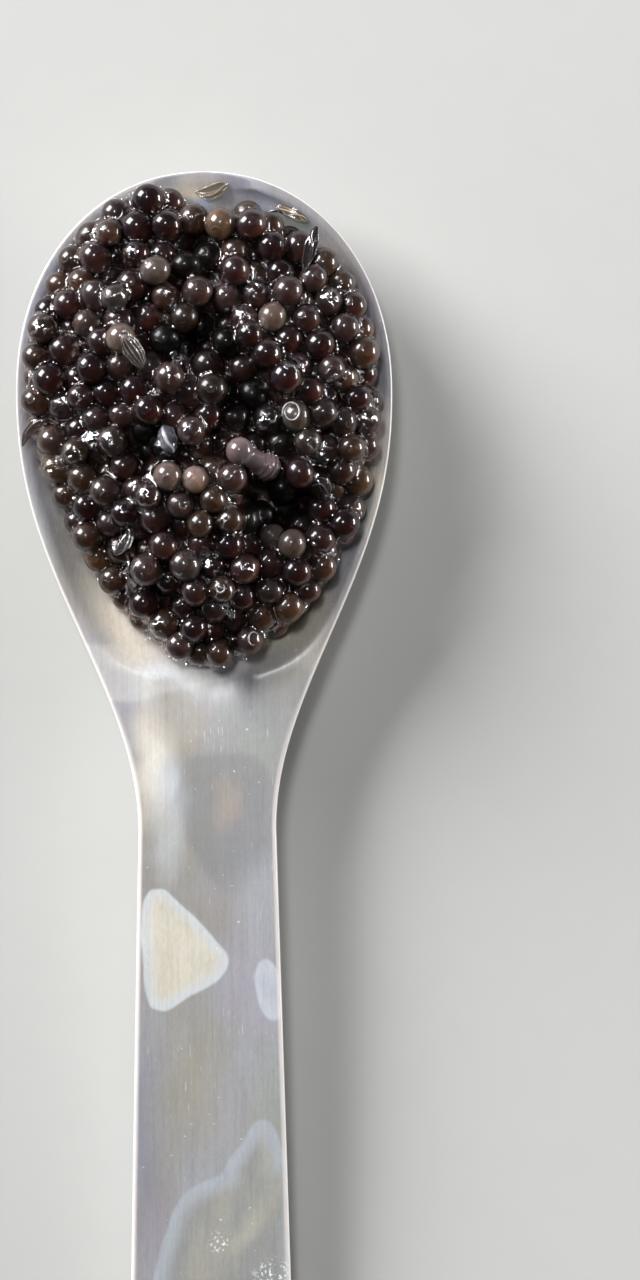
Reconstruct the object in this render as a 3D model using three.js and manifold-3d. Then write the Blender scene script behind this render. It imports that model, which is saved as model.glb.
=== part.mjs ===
// A spoon of caviar. The flat-handled spoon is ground from one piece of mother-of-pearl shell. It lies on the
// round of its bowl and on the end of its handle, and its bowl holds a heap of small dark sturgeon eggs.
// Millimetres, +Z up. The origin is on the table, under the deepest point of the bowl. The tip points to +Y.

import * as THREE from "three";
import { LoftGeometry } from "three/addons/geometries/LoftGeometry.js";
import { mergeVertices } from "three/addons/utils/BufferGeometryUtils.js";
import Module from "manifold-3d";

const wasm = await Module();
wasm.setup();

// ---------------------------------------------------------------- spoon: driving dimensions
// "along" is the distance from the tip of the bowl, towards the end of the handle.

const SPOON_LENGTH = 125;
const TIP_TO_DEEPEST = 20;
const TIP_TO_WIDEST = 18.7;
const TIP_TO_NECK = 56;
const BOWL_HALF_WIDTH = 16;
const NECK_HALF_WIDTH = 5.85;
const TIP_ROUNDNESS = 2.1; // exponent of the tip's outline, where 2 is an ellipse
const SHOULDER_SKEW = 1.12; // above 1, the bowl keeps its width longer before it tapers
const HANDLE_FLARE = 0.025; // how much each side of the handle widens for each mm of its length
const END_ROUND = 8; // length of the round at the end of the handle
const END_ROUNDNESS = 2.4;

const HOLLOW_DEPTH = 4.6;
const BOWL_FLOOR = 1.85; // thickness of shell under the deepest point
const RIM_WIDTH = 1;
const HOLLOW_REACH = 24.6; // from the widest point to where the hollow ends, at the handle
const HOLLOW_END_SQUARENESS = 15; // how late the hollow's sides close in at the handle
const DISH = 2.2; // exponent of the bowl's cross-section
const DISH_WALL = 0.8; // below 1, the wall is steeper near the rim
const BULGE_REACH = 31; // from the widest point to where the underside's round fades into the handle

const RIM_EDGE = 1.25; // thickness at the bowl's edge
const HANDLE_EDGE = 1.85;
const HANDLE_CAMBER = 0.35; // how much thicker the handle is along its middle
const ARCH = 1.6; // how far the handle bows up between the bowl and its end
const FOOT_FLAT = 0.2; // ground off the bowl's round, so that it rests on a small flat spot
const END_FLAT = 0.15; // the same under the end of the handle
const BEVEL = 0.45;
const BEVEL_DROP = 0.35;
const BEVEL_SHARE = 1 / 3; // of the half width at most, near the ends

const TIP_STEPS = 11;
const BOWL_STEP = 2;
const HANDLE_STEP = 8.5;
const END_STEPS = 6;
const HOLLOW_STEPS = 10;
const HOLLOW_STEPS_SHARE = 0.45; // past the hollow, its points keep this share of the half width
const UNDERSIDE_STEPS = 12;
const FIRST_SECTION = 0.03; // the end caps lie this far inside the ends, where the section still has a width

// ---------------------------------------------------------------- heap: driving dimensions

const EGG_RADIUS = 1.2;
const EGG_SPREAD = 0.1; // an egg's radius differs from the mean by up to this share
const EGG_SPACING = 2.3; // between the places where eggs start, before they settle
const START_JITTER = 0.9;
const HIGHEST_START = 20; // above the table
const SETTLING_ROUNDS = 140;
const SINKING_ROUNDS = 112; // after these, the eggs only push one another apart
const SINK = 0.03; // how far an egg sinks in each round
const PUSH = 0.42; // share of an overlap that each of two eggs gives way by in a round
const SLOPE_STEP = 0.05; // over which the slope of the shell under an egg is measured
const SEED = 20;
const DICE = { factor: 1664525, step: 1013904223, range: 4294967296 };

const HEAP_CENTRE_Y = 1.5;
const HEAP_LEFT = 15.5;
const HEAP_RIGHT = 15.1;
const HEAP_TO_TIP = 17.8;
const HEAP_TO_HANDLE = 24.4;
const HEAP_TIP_ROUNDNESS = 2;
const HEAP_HANDLE_ROUNDNESS = 1.7;
const HEAP_EDGE = 2.5; // height of its edge above the rim
const HEAP_RISE = 5.4; // how much higher its middle is than its edge
const HEAP_ROUNDNESS = 2.2;
const LEAN_FROM = 8; // nearer the tip than this, the heap's middle leans to the left
const LEAN = 2.4; // by this much at the heap's end
const BELLY = 0.9; // how far the heap's half near the handle swells to the right

// Ridges and hollows of the heap, where its ceiling is raised or lowered by the height.
const RELIEF = [
  { name: "hollow in the middle", x: 0.2, y: 5.6, radius: 2.1, height: -4 },
  { name: "hollow right of the middle", x: 2.9, y: 0.6, radius: 2, height: -3.6 },
  { name: "gap between two clusters", x: 5.5, y: -2.8, radius: 1.5, height: -2.8 },
  { name: "hollow near the handle", x: 5.8, y: -9, radius: 2.7, height: -4.4 },
  { name: "hollow on the left", x: -4.2, y: -3.4, radius: 2, height: -3.6 },
  { name: "gap beside the tallest eggs", x: -3.6, y: 4.4, radius: 1.5, height: -2.8 },
  { name: "hollow near the tip", x: -0.8, y: 12.8, radius: 1.9, height: -2.4 },
  { name: "ridge near the handle", x: -0.9, y: -8.4, radius: 3.4, height: 1.5 },
  { name: "ridge on the right", x: 6.2, y: 1.8, radius: 2.6, height: 1.6 },
  { name: "ridge on the left", x: -8, y: 5.6, radius: 3.6, height: 0.9 },
];

// Where the heap keeps farther from the tip, by that share of its reach, and bare shell shows.
const DENTS = [
  { name: "at the tip", x: 0.5, halfWidth: 2.4, depth: 0.17 },
  { name: "beside the tip", x: 7, halfWidth: 2.2, depth: 0.07 },
];

const WAVE_HEIGHT = 0.55; // of the unevenness all over the heap
const WAVE_LENGTH = 6.4;
const WAVE_TURN = { across: 0.5, along: 0.4 }; // how much the two sets of waves lean, as slopes

const SPOON_CLEARANCE = 0.2; // the heap keeps this gap to the shell
const CORE_BELOW_TOP = 2.1; // the core's surface lies this far below the heap's ceiling
const CORE_SHARE = 0.86; // of the footprint's size
const CORE_LEAST = 0.7; // thickness at the core's edge
const CORE_SECTIONS = 16;
const CORE_STEPS = 10;
const CORE_CLEARANCE = 0.3; // the core's gap to the shell
const CORE_END = 0.25; // of a section: how far its first and last sections lie inside its ends
const BALL_SWELL = 1.09; // a faceted ball this much larger has about the volume of the round egg
const LEAST_SHOWN = 0.22; // eggs with a smaller share in sight are left to the core
const LOOK_RISES = [0.1, 0.4, 0.7, 0.97]; // from where an egg is looked for: heights on a ball round it
const LOOK_TURNS = 10;
const LOOK_REACH = 9; // eggs farther off hide nothing
const HIDING_SHARE = 0.85; // of an egg's radius, within which it hides what is behind it

// ---------------------------------------------------------------- spoon: shape

// How wide a rounded end still is at share t of the way to its tip.
const rounded = (t, power, root = power) => Math.max(0, 1 - t ** power) ** (1 / root);

function halfWidth(along) {
  if (along < TIP_TO_WIDEST) {
    return BOWL_HALF_WIDTH * rounded((TIP_TO_WIDEST - along) / TIP_TO_WIDEST, TIP_ROUNDNESS);
  }
  if (along < TIP_TO_NECK) {
    const taper = ((along - TIP_TO_WIDEST) / (TIP_TO_NECK - TIP_TO_WIDEST)) ** SHOULDER_SKEW;
    return NECK_HALF_WIDTH + (BOWL_HALF_WIDTH - NECK_HALF_WIDTH) * (0.5 + 0.5 * Math.cos(Math.PI * taper));
  }
  const intoEnd = Math.max(0, (along - (SPOON_LENGTH - END_ROUND)) / END_ROUND);
  return (NECK_HALF_WIDTH + HANDLE_FLARE * (along - TIP_TO_NECK)) * rounded(intoEnd, END_ROUNDNESS);
}

// Height of the flat upper side: the rim of the bowl and the top of the handle.
function deck(along) {
  const atBowl = HOLLOW_DEPTH + BOWL_FLOOR - FOOT_FLAT;
  const atEnd = HANDLE_EDGE + HANDLE_CAMBER - END_FLAT;
  const share = (along - TIP_TO_DEEPEST) / (SPOON_LENGTH - TIP_TO_DEEPEST);
  return atBowl + (atEnd - atBowl) * share + ARCH * Math.sin(Math.PI * share);
}

function hollowHalfWidth(along) {
  const past = along - TIP_TO_WIDEST;
  if (past < 0) {
    const towardsTip = Math.min(1, -past / (TIP_TO_WIDEST - RIM_WIDTH));
    return (BOWL_HALF_WIDTH - RIM_WIDTH) * rounded(towardsTip, TIP_ROUNDNESS);
  }
  return (halfWidth(along) - RIM_WIDTH) * rounded(Math.min(1, past / HOLLOW_REACH), HOLLOW_END_SQUARENESS, 2);
}

// A dish's depth, as a share of its deepest, at x across and past the widest point.
function dish(x, half, past, tipReach, handleReach) {
  const lengthwise = Math.abs(past) / (past < 0 ? tipReach : handleReach);
  if (half <= Math.abs(x) || lengthwise >= 1) return 0;
  return ((1 - lengthwise ** 2) * (1 - (Math.abs(x) / half) ** DISH)) ** DISH_WALL;
}

function upperSide(x, along) {
  const past = along - TIP_TO_WIDEST;
  const share = dish(x, hollowHalfWidth(along), past, TIP_TO_WIDEST - RIM_WIDTH, HOLLOW_REACH);
  return deck(along) - HOLLOW_DEPTH * share;
}

function edgeThickness(along) {
  const share = THREE.MathUtils.smoothstep(along, TIP_TO_WIDEST, TIP_TO_NECK);
  return THREE.MathUtils.lerp(RIM_EDGE, HANDLE_EDGE, share);
}

function underside(x, along) {
  const half = halfWidth(along);
  const past = along - TIP_TO_WIDEST;
  const bulge = HOLLOW_DEPTH + BOWL_FLOOR - RIM_EDGE;
  const camberShare = THREE.MathUtils.smoothstep(past, 0, BULGE_REACH);
  const camber = HANDLE_CAMBER * camberShare * (1 - Math.min(1, x / half) ** 2);
  const below = edgeThickness(along) + camber + bulge * dish(x, half, past, TIP_TO_WIDEST, BULGE_REACH);
  return Math.max(0, deck(along) - below);
}

// One closed section, counterclockwise as seen from the end of the handle.
function spoonSection(along) {
  const half = halfWidth(along);
  const bevel = Math.min(BEVEL, BEVEL_SHARE * half);
  const hollow = Math.max(hollowHalfWidth(along), HOLLOW_STEPS_SHARE * half);
  const top = deck(along) - BEVEL_DROP;
  const bottom = underside(half, along) + BEVEL_DROP;
  const at = (x, z) => new THREE.Vector3(x, TIP_TO_DEEPEST - along, z);
  const upper = [half - bevel];
  for (let i = 0; i <= HOLLOW_STEPS; i++) upper.push(hollow * Math.cos((Math.PI * i) / HOLLOW_STEPS));
  upper.push(bevel - half);
  const lower = [];
  for (let i = 0; i <= UNDERSIDE_STEPS; i++) lower.push((half - bevel) * ((2 * i) / UNDERSIDE_STEPS - 1));
  return [
    at(half, bottom),
    at(half, top),
    ...upper.map((x) => at(x, upperSide(x, along))),
    at(-half, top),
    at(-half, bottom),
    ...lower.map((x) => at(x, underside(x, along))),
  ];
}

function spoonStations() {
  const stations = [FIRST_SECTION];
  for (let i = 1; i < TIP_STEPS; i++) {
    stations.push(TIP_TO_WIDEST * (1 - Math.cos((Math.PI / 2) * (i / TIP_STEPS))));
  }
  let along = TIP_TO_WIDEST;
  for (; along < TIP_TO_NECK; along += BOWL_STEP) stations.push(along);
  for (; along < SPOON_LENGTH - END_ROUND; along += HANDLE_STEP) stations.push(along);
  for (let i = 0; i < END_STEPS; i++) {
    stations.push(SPOON_LENGTH - END_ROUND * (1 - Math.sin((Math.PI / 2) * (i / END_STEPS))));
  }
  stations.push(SPOON_LENGTH - FIRST_SECTION);
  return stations;
}

function makeSpoon() {
  const geometry = new LoftGeometry(spoonStations().map(spoonSection), { capStart: true, capEnd: true });
  const pearl = new THREE.MeshStandardMaterial({ color: 0xc9c7c0, roughness: 0.25, metalness: 0.1 });
  const mesh = new THREE.Mesh(geometry, pearl);
  mesh.name = "spoon";
  return mesh;
}

// ---------------------------------------------------------------- heap: shape

const spoonTop = (x, y) => upperSide(x, TIP_TO_DEEPEST - y);

function middleOfHeap(y) {
  if (y > LEAN_FROM) return -LEAN * ((y - LEAN_FROM) / (HEAP_CENTRE_Y + HEAP_TO_TIP - LEAN_FROM)) ** 2;
  return y > 0 ? 0 : BELLY * Math.sin((Math.PI * -y) / HEAP_TO_HANDLE);
}

// How far the heap reaches from its centre towards the spoon's tip.
function reachToTip(x) {
  let share = 1;
  for (const dent of DENTS) share -= dent.depth * Math.exp(-(((x - dent.x) / dent.halfWidth) ** 2));
  return HEAP_TO_TIP * share;
}

// Where a point of the heap lies once the dents are pressed in.
function dented(x, y) {
  const press = y > HEAP_CENTRE_Y ? reachToTip(x) / HEAP_TO_TIP : 1;
  return HEAP_CENTRE_Y + (y - HEAP_CENTRE_Y) * press;
}

// 0 at the middle of the heap's footprint, 1 at its outline.
function outward(x, y) {
  const side = x - middleOfHeap(y);
  const across = Math.abs(side) / (side < 0 ? HEAP_LEFT : HEAP_RIGHT);
  const fromCentre = y - HEAP_CENTRE_Y;
  const lengthwise = Math.abs(fromCentre) / (fromCentre > 0 ? reachToTip(x) : HEAP_TO_HANDLE);
  const power = fromCentre > 0 ? HEAP_TIP_ROUNDNESS : HEAP_HANDLE_ROUNDNESS;
  return (across ** power + lengthwise ** power) ** (1 / power);
}

// The height that the tops of the eggs stay under.
function ceiling(x, y) {
  const q = Math.min(1, outward(x, y));
  let z = deck(TIP_TO_DEEPEST - y) + HEAP_EDGE + HEAP_RISE * (1 - q ** HEAP_ROUNDNESS);
  const phase = (2 * Math.PI) / WAVE_LENGTH;
  const waveAcross = Math.sin(phase * (x + WAVE_TURN.across * y));
  const waveAlong = Math.sin(phase * (y - WAVE_TURN.along * x));
  z += WAVE_HEIGHT * waveAcross * waveAlong;
  for (const form of RELIEF) {
    const share = ((x - form.x) ** 2 + (y - form.y) ** 2) / form.radius ** 2;
    z += form.height * Math.exp(-share);
  }
  return z;
}

// A seeded row of numbers from 0 to 1.
function dice(seed) {
  let state = seed;
  return () => {
    state = (state * DICE.factor + DICE.step) % DICE.range;
    return state / DICE.range;
  };
}

// Distance from a point to the shell under it, taken square to the shell.
function aboveSpoon(egg) {
  const step = SLOPE_STEP;
  const slopeX = (spoonTop(egg.x + step, egg.y) - spoonTop(egg.x - step, egg.y)) / (2 * step);
  const slopeY = (spoonTop(egg.x, egg.y + step) - spoonTop(egg.x, egg.y - step)) / (2 * step);
  const steepness = Math.hypot(1, slopeX, slopeY);
  return {
    distance: (egg.z - spoonTop(egg.x, egg.y)) / steepness,
    normal: [-slopeX / steepness, -slopeY / steepness, 1 / steepness],
  };
}

// Eggs in loose staggered rows through the whole of the heap.
function scatterEggs(roll) {
  const eggs = [];
  const jitter = () => START_JITTER * (roll() - 0.5);
  const row = EGG_SPACING * Math.sqrt(3 / 4);
  const layer = EGG_SPACING * Math.sqrt(2 / 3);
  let height = 0;
  for (let z = EGG_RADIUS; z < HIGHEST_START; z += layer, height++) {
    let line = 0;
    for (let y = -HEAP_TO_HANDLE; y < HEAP_TO_TIP + HEAP_CENTRE_Y; y += row, line++) {
      const shift = EGG_SPACING * (((line + height) % 2) / 2);
      for (let x = shift - HEAP_LEFT; x < HEAP_RIGHT; x += EGG_SPACING) {
        const radius = EGG_RADIUS * (1 + EGG_SPREAD * (2 * roll() - 1));
        const egg = { x: x + jitter(), y: y + jitter() + row * (height % 3) / 3, z: z + jitter(), radius };
        const inside = outward(egg.x, egg.y) < 1 - radius / HEAP_RIGHT;
        const lowest = spoonTop(egg.x, egg.y) + radius;
        if (inside && egg.z > lowest && egg.z < ceiling(egg.x, egg.y) - radius) eggs.push(egg);
      }
    }
  }
  return eggs;
}

// Keeps an egg off the shell, inside the footprint and under the ceiling.
function contain(egg) {
  const { distance, normal } = aboveSpoon(egg);
  const lift = Math.max(0, egg.radius + SPOON_CLEARANCE - distance);
  egg.x += normal[0] * lift;
  egg.y += normal[1] * lift;
  egg.z += normal[2] * lift;
  const share = outward(egg.x, egg.y);
  const most = 1 - egg.radius / HEAP_RIGHT;
  if (share > most) {
    const middle = middleOfHeap(egg.y);
    egg.x = middle + (egg.x - middle) * (most / share);
    egg.y = HEAP_CENTRE_Y + (egg.y - HEAP_CENTRE_Y) * (most / share);
  }
  const over = egg.z + egg.radius - ceiling(egg.x, egg.y);
  if (over > 0) egg.z -= Math.min(over, SINK);
}

// Lets the eggs sink, and push one another apart, until they lie in a heap.
function settle(eggs) {
  for (let round = 0; round < SETTLING_ROUNDS; round++) {
    const moves = eggs.map(() => [0, 0, 0]);
    for (let i = 0; i < eggs.length; i++) {
      for (let j = 0; j < i; j++) {
        const gap = [eggs[i].x - eggs[j].x, eggs[i].y - eggs[j].y, eggs[i].z - eggs[j].z];
        const apart = Math.hypot(...gap);
        const overlap = eggs[i].radius + eggs[j].radius - apart;
        if (overlap <= 0) continue;
        for (let axis = 0; axis < 3; axis++) {
          const move = (PUSH * overlap * gap[axis]) / apart;
          moves[i][axis] += move;
          moves[j][axis] -= move;
        }
      }
    }
    const sink = round < SINKING_ROUNDS ? SINK : 0;
    eggs.forEach((egg, i) => {
      egg.x += moves[i][0];
      egg.y += moves[i][1];
      egg.z += moves[i][2] - sink;
      contain(egg);
    });
  }
}

// The share of directions, from level to straight up, in which nothing lies in front of an egg.
function shownShare(egg, eggs) {
  const inReach = (other) => Math.hypot(other.x - egg.x, other.y - egg.y) < LOOK_REACH;
  const near = eggs.filter((other) => other !== egg && inReach(other));
  let free = 0;
  for (const rise of LOOK_RISES) {
    for (let turn = 0; turn < LOOK_TURNS; turn++) {
      const angle = (2 * Math.PI * (turn + rise)) / LOOK_TURNS;
      const level = Math.sqrt(1 - rise ** 2);
      const way = [level * Math.cos(angle), level * Math.sin(angle), rise];
      const blocked = near.some((other) => {
        const to = [other.x - egg.x, other.y - egg.y, other.z - egg.z];
        const ahead = to[0] * way[0] + to[1] * way[1] + to[2] * way[2];
        const aside = Math.hypot(...to) ** 2 - ahead ** 2;
        return ahead > 0 && aside < (HIDING_SHARE * other.radius) ** 2;
      });
      if (!blocked) free++;
    }
  }
  return free / (LOOK_RISES.length * LOOK_TURNS);
}

// ---------------------------------------------------------------- heap: solids

function solidFrom(geometry) {
  const bare = geometry.index ? geometry.toNonIndexed() : geometry.clone();
  bare.deleteAttribute("normal");
  bare.deleteAttribute("uv");
  const merged = mergeVertices(bare);
  return new wasm.Manifold(
    new wasm.Mesh({
      numProp: 3,
      vertProperties: merged.attributes.position.array,
      triVerts: new Uint32Array(merged.index.array),
    }),
  );
}

function geometryFrom(solid) {
  const { vertProperties, triVerts } = solid.getMesh();
  const geometry = new THREE.BufferGeometry();
  geometry.setAttribute("position", new THREE.BufferAttribute(vertProperties, 3));
  geometry.setIndex(new THREE.BufferAttribute(triVerts, 1));
  geometry.computeVertexNormals();
  return geometry;
}

// The mass of eggs under the ones that show, as one loft from the tip's side to the handle's.
function makeCore() {
  const sections = [];
  for (let i = 0; i <= CORE_SECTIONS; i++) {
    const turn = (Math.PI * (i + CORE_END)) / (CORE_SECTIONS + 2 * CORE_END);
    const reach = CORE_SHARE * (Math.cos(turn) > 0 ? HEAP_TO_TIP : HEAP_TO_HANDLE);
    const y = HEAP_CENTRE_Y + reach * Math.cos(turn);
    const power = Math.cos(turn) > 0 ? HEAP_TIP_ROUNDNESS : HEAP_HANDLE_ROUNDNESS;
    const share = CORE_SHARE * rounded(Math.abs(Math.cos(turn)), power);
    const places = Array.from({ length: CORE_STEPS + 1 }, (_, k) => {
      const t = Math.cos((Math.PI * k) / CORE_STEPS);
      return middleOfHeap(y) + share * (t < 0 ? HEAP_LEFT : HEAP_RIGHT) * t;
    });
    const bottom = (x) => spoonTop(x, dented(x, y)) + CORE_CLEARANCE;
    const top = (x) => Math.max(bottom(x) + CORE_LEAST, ceiling(x, dented(x, y)) - CORE_BELOW_TOP);
    sections.push([
      ...places.map((x) => new THREE.Vector3(x, y, top(x))),
      ...places.toReversed().map((x) => new THREE.Vector3(x, y, bottom(x))),
    ]);
  }
  const core = new LoftGeometry(sections, { capStart: true, capEnd: true });
  const place = core.attributes.position;
  for (let i = 0; i < place.count; i++) place.setY(i, dented(place.getX(i), place.getY(i)));
  return solidFrom(core);
}

function makeCaviar() {
  const roll = dice(SEED);
  const eggs = scatterEggs(roll);
  settle(eggs);
  const shown = eggs.filter((egg) => shownShare(egg, eggs) > LEAST_SHOWN);
  let heap = makeCore();
  for (const egg of shown) {
    const ball = new THREE.IcosahedronGeometry(BALL_SWELL * egg.radius, 0);
    ball.rotateX(2 * Math.PI * roll());
    ball.rotateZ(2 * Math.PI * roll());
    ball.translate(egg.x, egg.y, egg.z);
    heap = heap.add(solidFrom(ball));
  }
  // The largest body is the heap: loose eggs are dropped and sealed hollows filled.
  const bodies = heap.decompose().sort((a, b) => b.volume() - a.volume());
  const roe = new THREE.MeshStandardMaterial({ color: 0x2b2321, roughness: 0.15, metalness: 0 });
  const mesh = new THREE.Mesh(geometryFrom(bodies[0]), roe);
  mesh.name = "caviar";
  return mesh;
}

const spoonOfCaviar = new THREE.Group();
spoonOfCaviar.add(makeSpoon(), makeCaviar());

export default spoonOfCaviar;
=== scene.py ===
import math

import bmesh
import bpy
import numpy as np
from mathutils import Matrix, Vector


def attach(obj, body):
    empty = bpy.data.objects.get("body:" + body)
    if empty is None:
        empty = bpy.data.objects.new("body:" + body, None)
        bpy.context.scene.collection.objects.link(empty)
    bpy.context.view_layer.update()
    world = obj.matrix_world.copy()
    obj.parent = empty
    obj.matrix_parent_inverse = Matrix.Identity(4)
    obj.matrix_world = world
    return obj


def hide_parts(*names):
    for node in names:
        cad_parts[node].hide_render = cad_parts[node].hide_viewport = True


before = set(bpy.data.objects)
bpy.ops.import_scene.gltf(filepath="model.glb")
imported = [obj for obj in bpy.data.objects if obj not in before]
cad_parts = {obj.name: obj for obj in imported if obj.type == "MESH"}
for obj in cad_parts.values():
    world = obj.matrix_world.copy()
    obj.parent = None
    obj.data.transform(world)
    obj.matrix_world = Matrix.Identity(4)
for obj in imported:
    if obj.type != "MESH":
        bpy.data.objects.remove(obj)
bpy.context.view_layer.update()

mm = 0.001


# ---------------------------------------------------------------- camera
# The spoon is photographed from straight above, with the tip up and the end of the handle past the lower
# edge. It lies left of the middle, and its middle line leans a little, so the camera is turned by as much.

PHOTO_COLUMNS = 640
PHOTO_ROWS = 1280
PIXEL = 0.085 * mm  # on the spoon, at the height of the bowl's rim
MIDDLE_COLUMN = 202.5  # of the spoon, at the row of its tip
TIP_ROW = 170
LEAN = 0.0072  # columns to the right for each row down
LENS = 135  # millimetres
SENSOR = 36  # length of its long side, in millimetres
RIM_HEIGHT = 6.25 * mm
TIP_TO_ORIGIN = 20 * mm

across = (PHOTO_COLUMNS / 2 - MIDDLE_COLUMN - LEAN * (PHOTO_ROWS / 2 - TIP_ROW)) * PIXEL
down = (PHOTO_ROWS / 2 - TIP_ROW) * PIXEL
camera = bpy.data.objects.new("camera", bpy.data.cameras.new("camera"))
camera.data.lens = LENS
camera.data.sensor_width = SENSOR
camera.location = (across, TIP_TO_ORIGIN - down, RIM_HEIGHT + PHOTO_ROWS * PIXEL * LENS / SENSOR)
camera.rotation_euler = (0, 0, -LEAN)
bpy.context.scene.collection.objects.link(camera)
bpy.context.scene.camera = camera


# ---------------------------------------------------------------- light
# A square softbox stands at the upper left, a long low strip at the right and a small lamp nearly overhead.
# Each egg mirrors them, as a bright square, a thin upright bar and a spark. The room is dim, so that the
# eggs stay dark between them.

LIGHT_DISTANCE = 1.2
WALL_LIGHT = 0.03
CEILING_LIGHT = 0.01
CEILING_FROM = 0.6  # height of the walls' upper edge in the sky, where 1 is straight up
CEILING_FULL = 0.85


def softbox(name, towards, width, height, brightness):
    """An area light at LIGHT_DISTANCE from the bowl, width and height in degrees as seen from there."""
    data = bpy.data.lights.new(name, "AREA")
    data.shape = "RECTANGLE"
    data.size = 2 * LIGHT_DISTANCE * math.tan(math.radians(width / 2))
    data.size_y = 2 * LIGHT_DISTANCE * math.tan(math.radians(height / 2))
    data.energy = math.pi * data.size * data.size_y * brightness
    light = bpy.data.objects.new(name, data)
    direction = Vector(towards).normalized()
    light.location = direction * LIGHT_DISTANCE + Vector((0, 0, RIM_HEIGHT))
    light.rotation_euler = direction.to_track_quat("Z", "Y").to_euler()
    bpy.context.scene.collection.objects.link(light)


softbox("key", (-0.70, 0.59, 0.40), width=33, height=31, brightness=26)
softbox("strip", (0.98, 0.15, 0.15), width=28, height=10, brightness=40)
softbox("lamp", (-0.10, 0.25, 0.96), width=9, height=9, brightness=44)
world = bpy.data.worlds.new("room")
world.use_nodes = True
room = world.node_tree
sky = room.nodes.new("ShaderNodeTexCoord")
sky_height = room.nodes.new("ShaderNodeSeparateXYZ")
sky_light = room.nodes.new("ShaderNodeMapRange")
sky_light.inputs["From Min"].default_value = CEILING_FROM
sky_light.inputs["From Max"].default_value = CEILING_FULL
sky_light.inputs["To Min"].default_value = WALL_LIGHT
sky_light.inputs["To Max"].default_value = CEILING_LIGHT
room.links.new(sky.outputs["Generated"], sky_height.inputs[0])
room.links.new(sky_height.outputs["Z"], sky_light.inputs["Value"])
room.links.new(sky_light.outputs[0], room.nodes["Background"].inputs["Strength"])
room.nodes["Background"].inputs["Color"].default_value = (1, 1, 1, 1)
bpy.context.scene.world = world
bpy.context.scene.view_settings.view_transform = "Standard"


# ---------------------------------------------------------------- table
# A plain pale matt table top, of painted board, with nothing on it but the spoon.
# Its paint is very slightly clouded.

TABLE_WIDTH = 12
TABLE_PAINT = (183, 183, 181)
TABLE_PALER_PAINT = (186, 186, 184)
TABLE_CLOUDS = 300  # to the metre


def paint(red, green, blue):
    """A colour given as it looks on a screen, 0 to 255, for a shader's socket."""
    shares = [channel / 255 for channel in (red, green, blue)]
    linear = [share / 12.92 if share < 0.0404 else ((share + 0.055) / 1.055) ** 2.4 for share in shares]
    return (*linear, 1)


class Wire:
    """A value that runs through a finish's nodes. Arithmetic on it adds Math nodes."""

    def __init__(self, finish, socket):
        self.finish = finish
        self.socket = socket

    def math(self, operation, *values):
        return self.finish.node("ShaderNodeMath", {"operation": operation}, dict(enumerate(values)))

    def __add__(self, other):
        return self.math("ADD", self, other)

    def __radd__(self, other):
        return self.math("ADD", other, self)

    def __sub__(self, other):
        return self.math("SUBTRACT", self, other)

    def __rsub__(self, other):
        return self.math("SUBTRACT", other, self)

    def __mul__(self, other):
        return self.math("MULTIPLY", self, other)

    def __rmul__(self, other):
        return self.math("MULTIPLY", other, self)

    def __abs__(self):
        return self.math("ABSOLUTE", self)


class Finish:
    """A material and its nodes. Its shader is a Principled BSDF, whose sockets the finish sets."""

    def __init__(self, name, **sockets):
        self.material = bpy.data.materials.new(name)
        self.material.use_nodes = True
        self.tree = self.material.node_tree
        self.shader = self.tree.nodes["Principled BSDF"]
        for socket, value in sockets.items():
            self.set(socket.replace("_", " "), value)

    def set(self, socket, value):
        """Sets a socket of the shader to a value or a wire."""
        self.plug(self.shader.inputs[socket], value)

    def plug(self, socket, value):
        if isinstance(value, Wire):
            self.tree.links.new(value.socket, socket)
        else:
            socket.default_value = value

    def node(self, kind, settings, sockets, output=0):
        """A node of that kind, its settings made first, then its sockets. Gives back one of its outputs."""
        node = self.tree.nodes.new(kind)
        for name, value in settings.items():
            setattr(node, name, value)
        for name, value in sockets.items():
            self.plug(node.inputs[name], value)
        return Wire(self, node.outputs[output])

    def place(self):
        """The point on the surface, in metres in the spoon's frame."""
        return self.node("ShaderNodeTexCoord", {}, {}, "Object")

    def vector(self, operation, *values, output=0):
        """Vector Math on points or directions."""
        return self.node("ShaderNodeVectorMath", {"operation": operation}, dict(enumerate(values)), output)

    def share(self, name):
        """What the mesh says of the surface there, from 0 to 1."""
        return self.node("ShaderNodeAttribute", {"attribute_name": name}, {}, "Fac")

    def stretched(self, place, across, along, up):
        """The point with each direction scaled, so that a texture has that many times its detail along it."""
        return self.vector("MULTIPLY", place, (across, along, up))

    def clouds(self, place, scale, detail=2, roughness=0.5):
        """Soft unevenness from 0 to 1, scale to the metre."""
        sockets = {"Vector": place, "Scale": scale, "Detail": detail, "Roughness": roughness}
        return self.node("ShaderNodeTexNoise", {}, sockets)

    def step(self, value, low, high, between="SMOOTHSTEP"):
        """0 at low, 1 at high, smooth or straight between."""
        sockets = {"Value": value, "From Min": low, "From Max": high}
        return self.node("ShaderNodeMapRange", {"interpolation_type": between}, sockets)

    def blend(self, mask, first, second):
        """The first colour where mask is 0, the second where it is 1."""
        return self.node("ShaderNodeMix", {"data_type": "RGBA"}, {0: mask, 6: first, 7: second}, 2)

    def tint(self, mask, first, second):
        """The first colour times the second, by as much as mask says."""
        settings = {"data_type": "RGBA", "blend_type": "MULTIPLY"}
        return self.node("ShaderNodeMix", settings, {0: mask, 6: first, 7: second}, 2)

    def relief(self, height, distance, strength=1.0, under=None):
        """A bumped normal. Height 1 stands distance metres out of the surface."""
        sockets = {"Height": height, "Distance": distance, "Strength": strength}
        if under is not None:
            sockets["Normal"] = under
        return self.node("ShaderNodeBump", {}, sockets)


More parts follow.
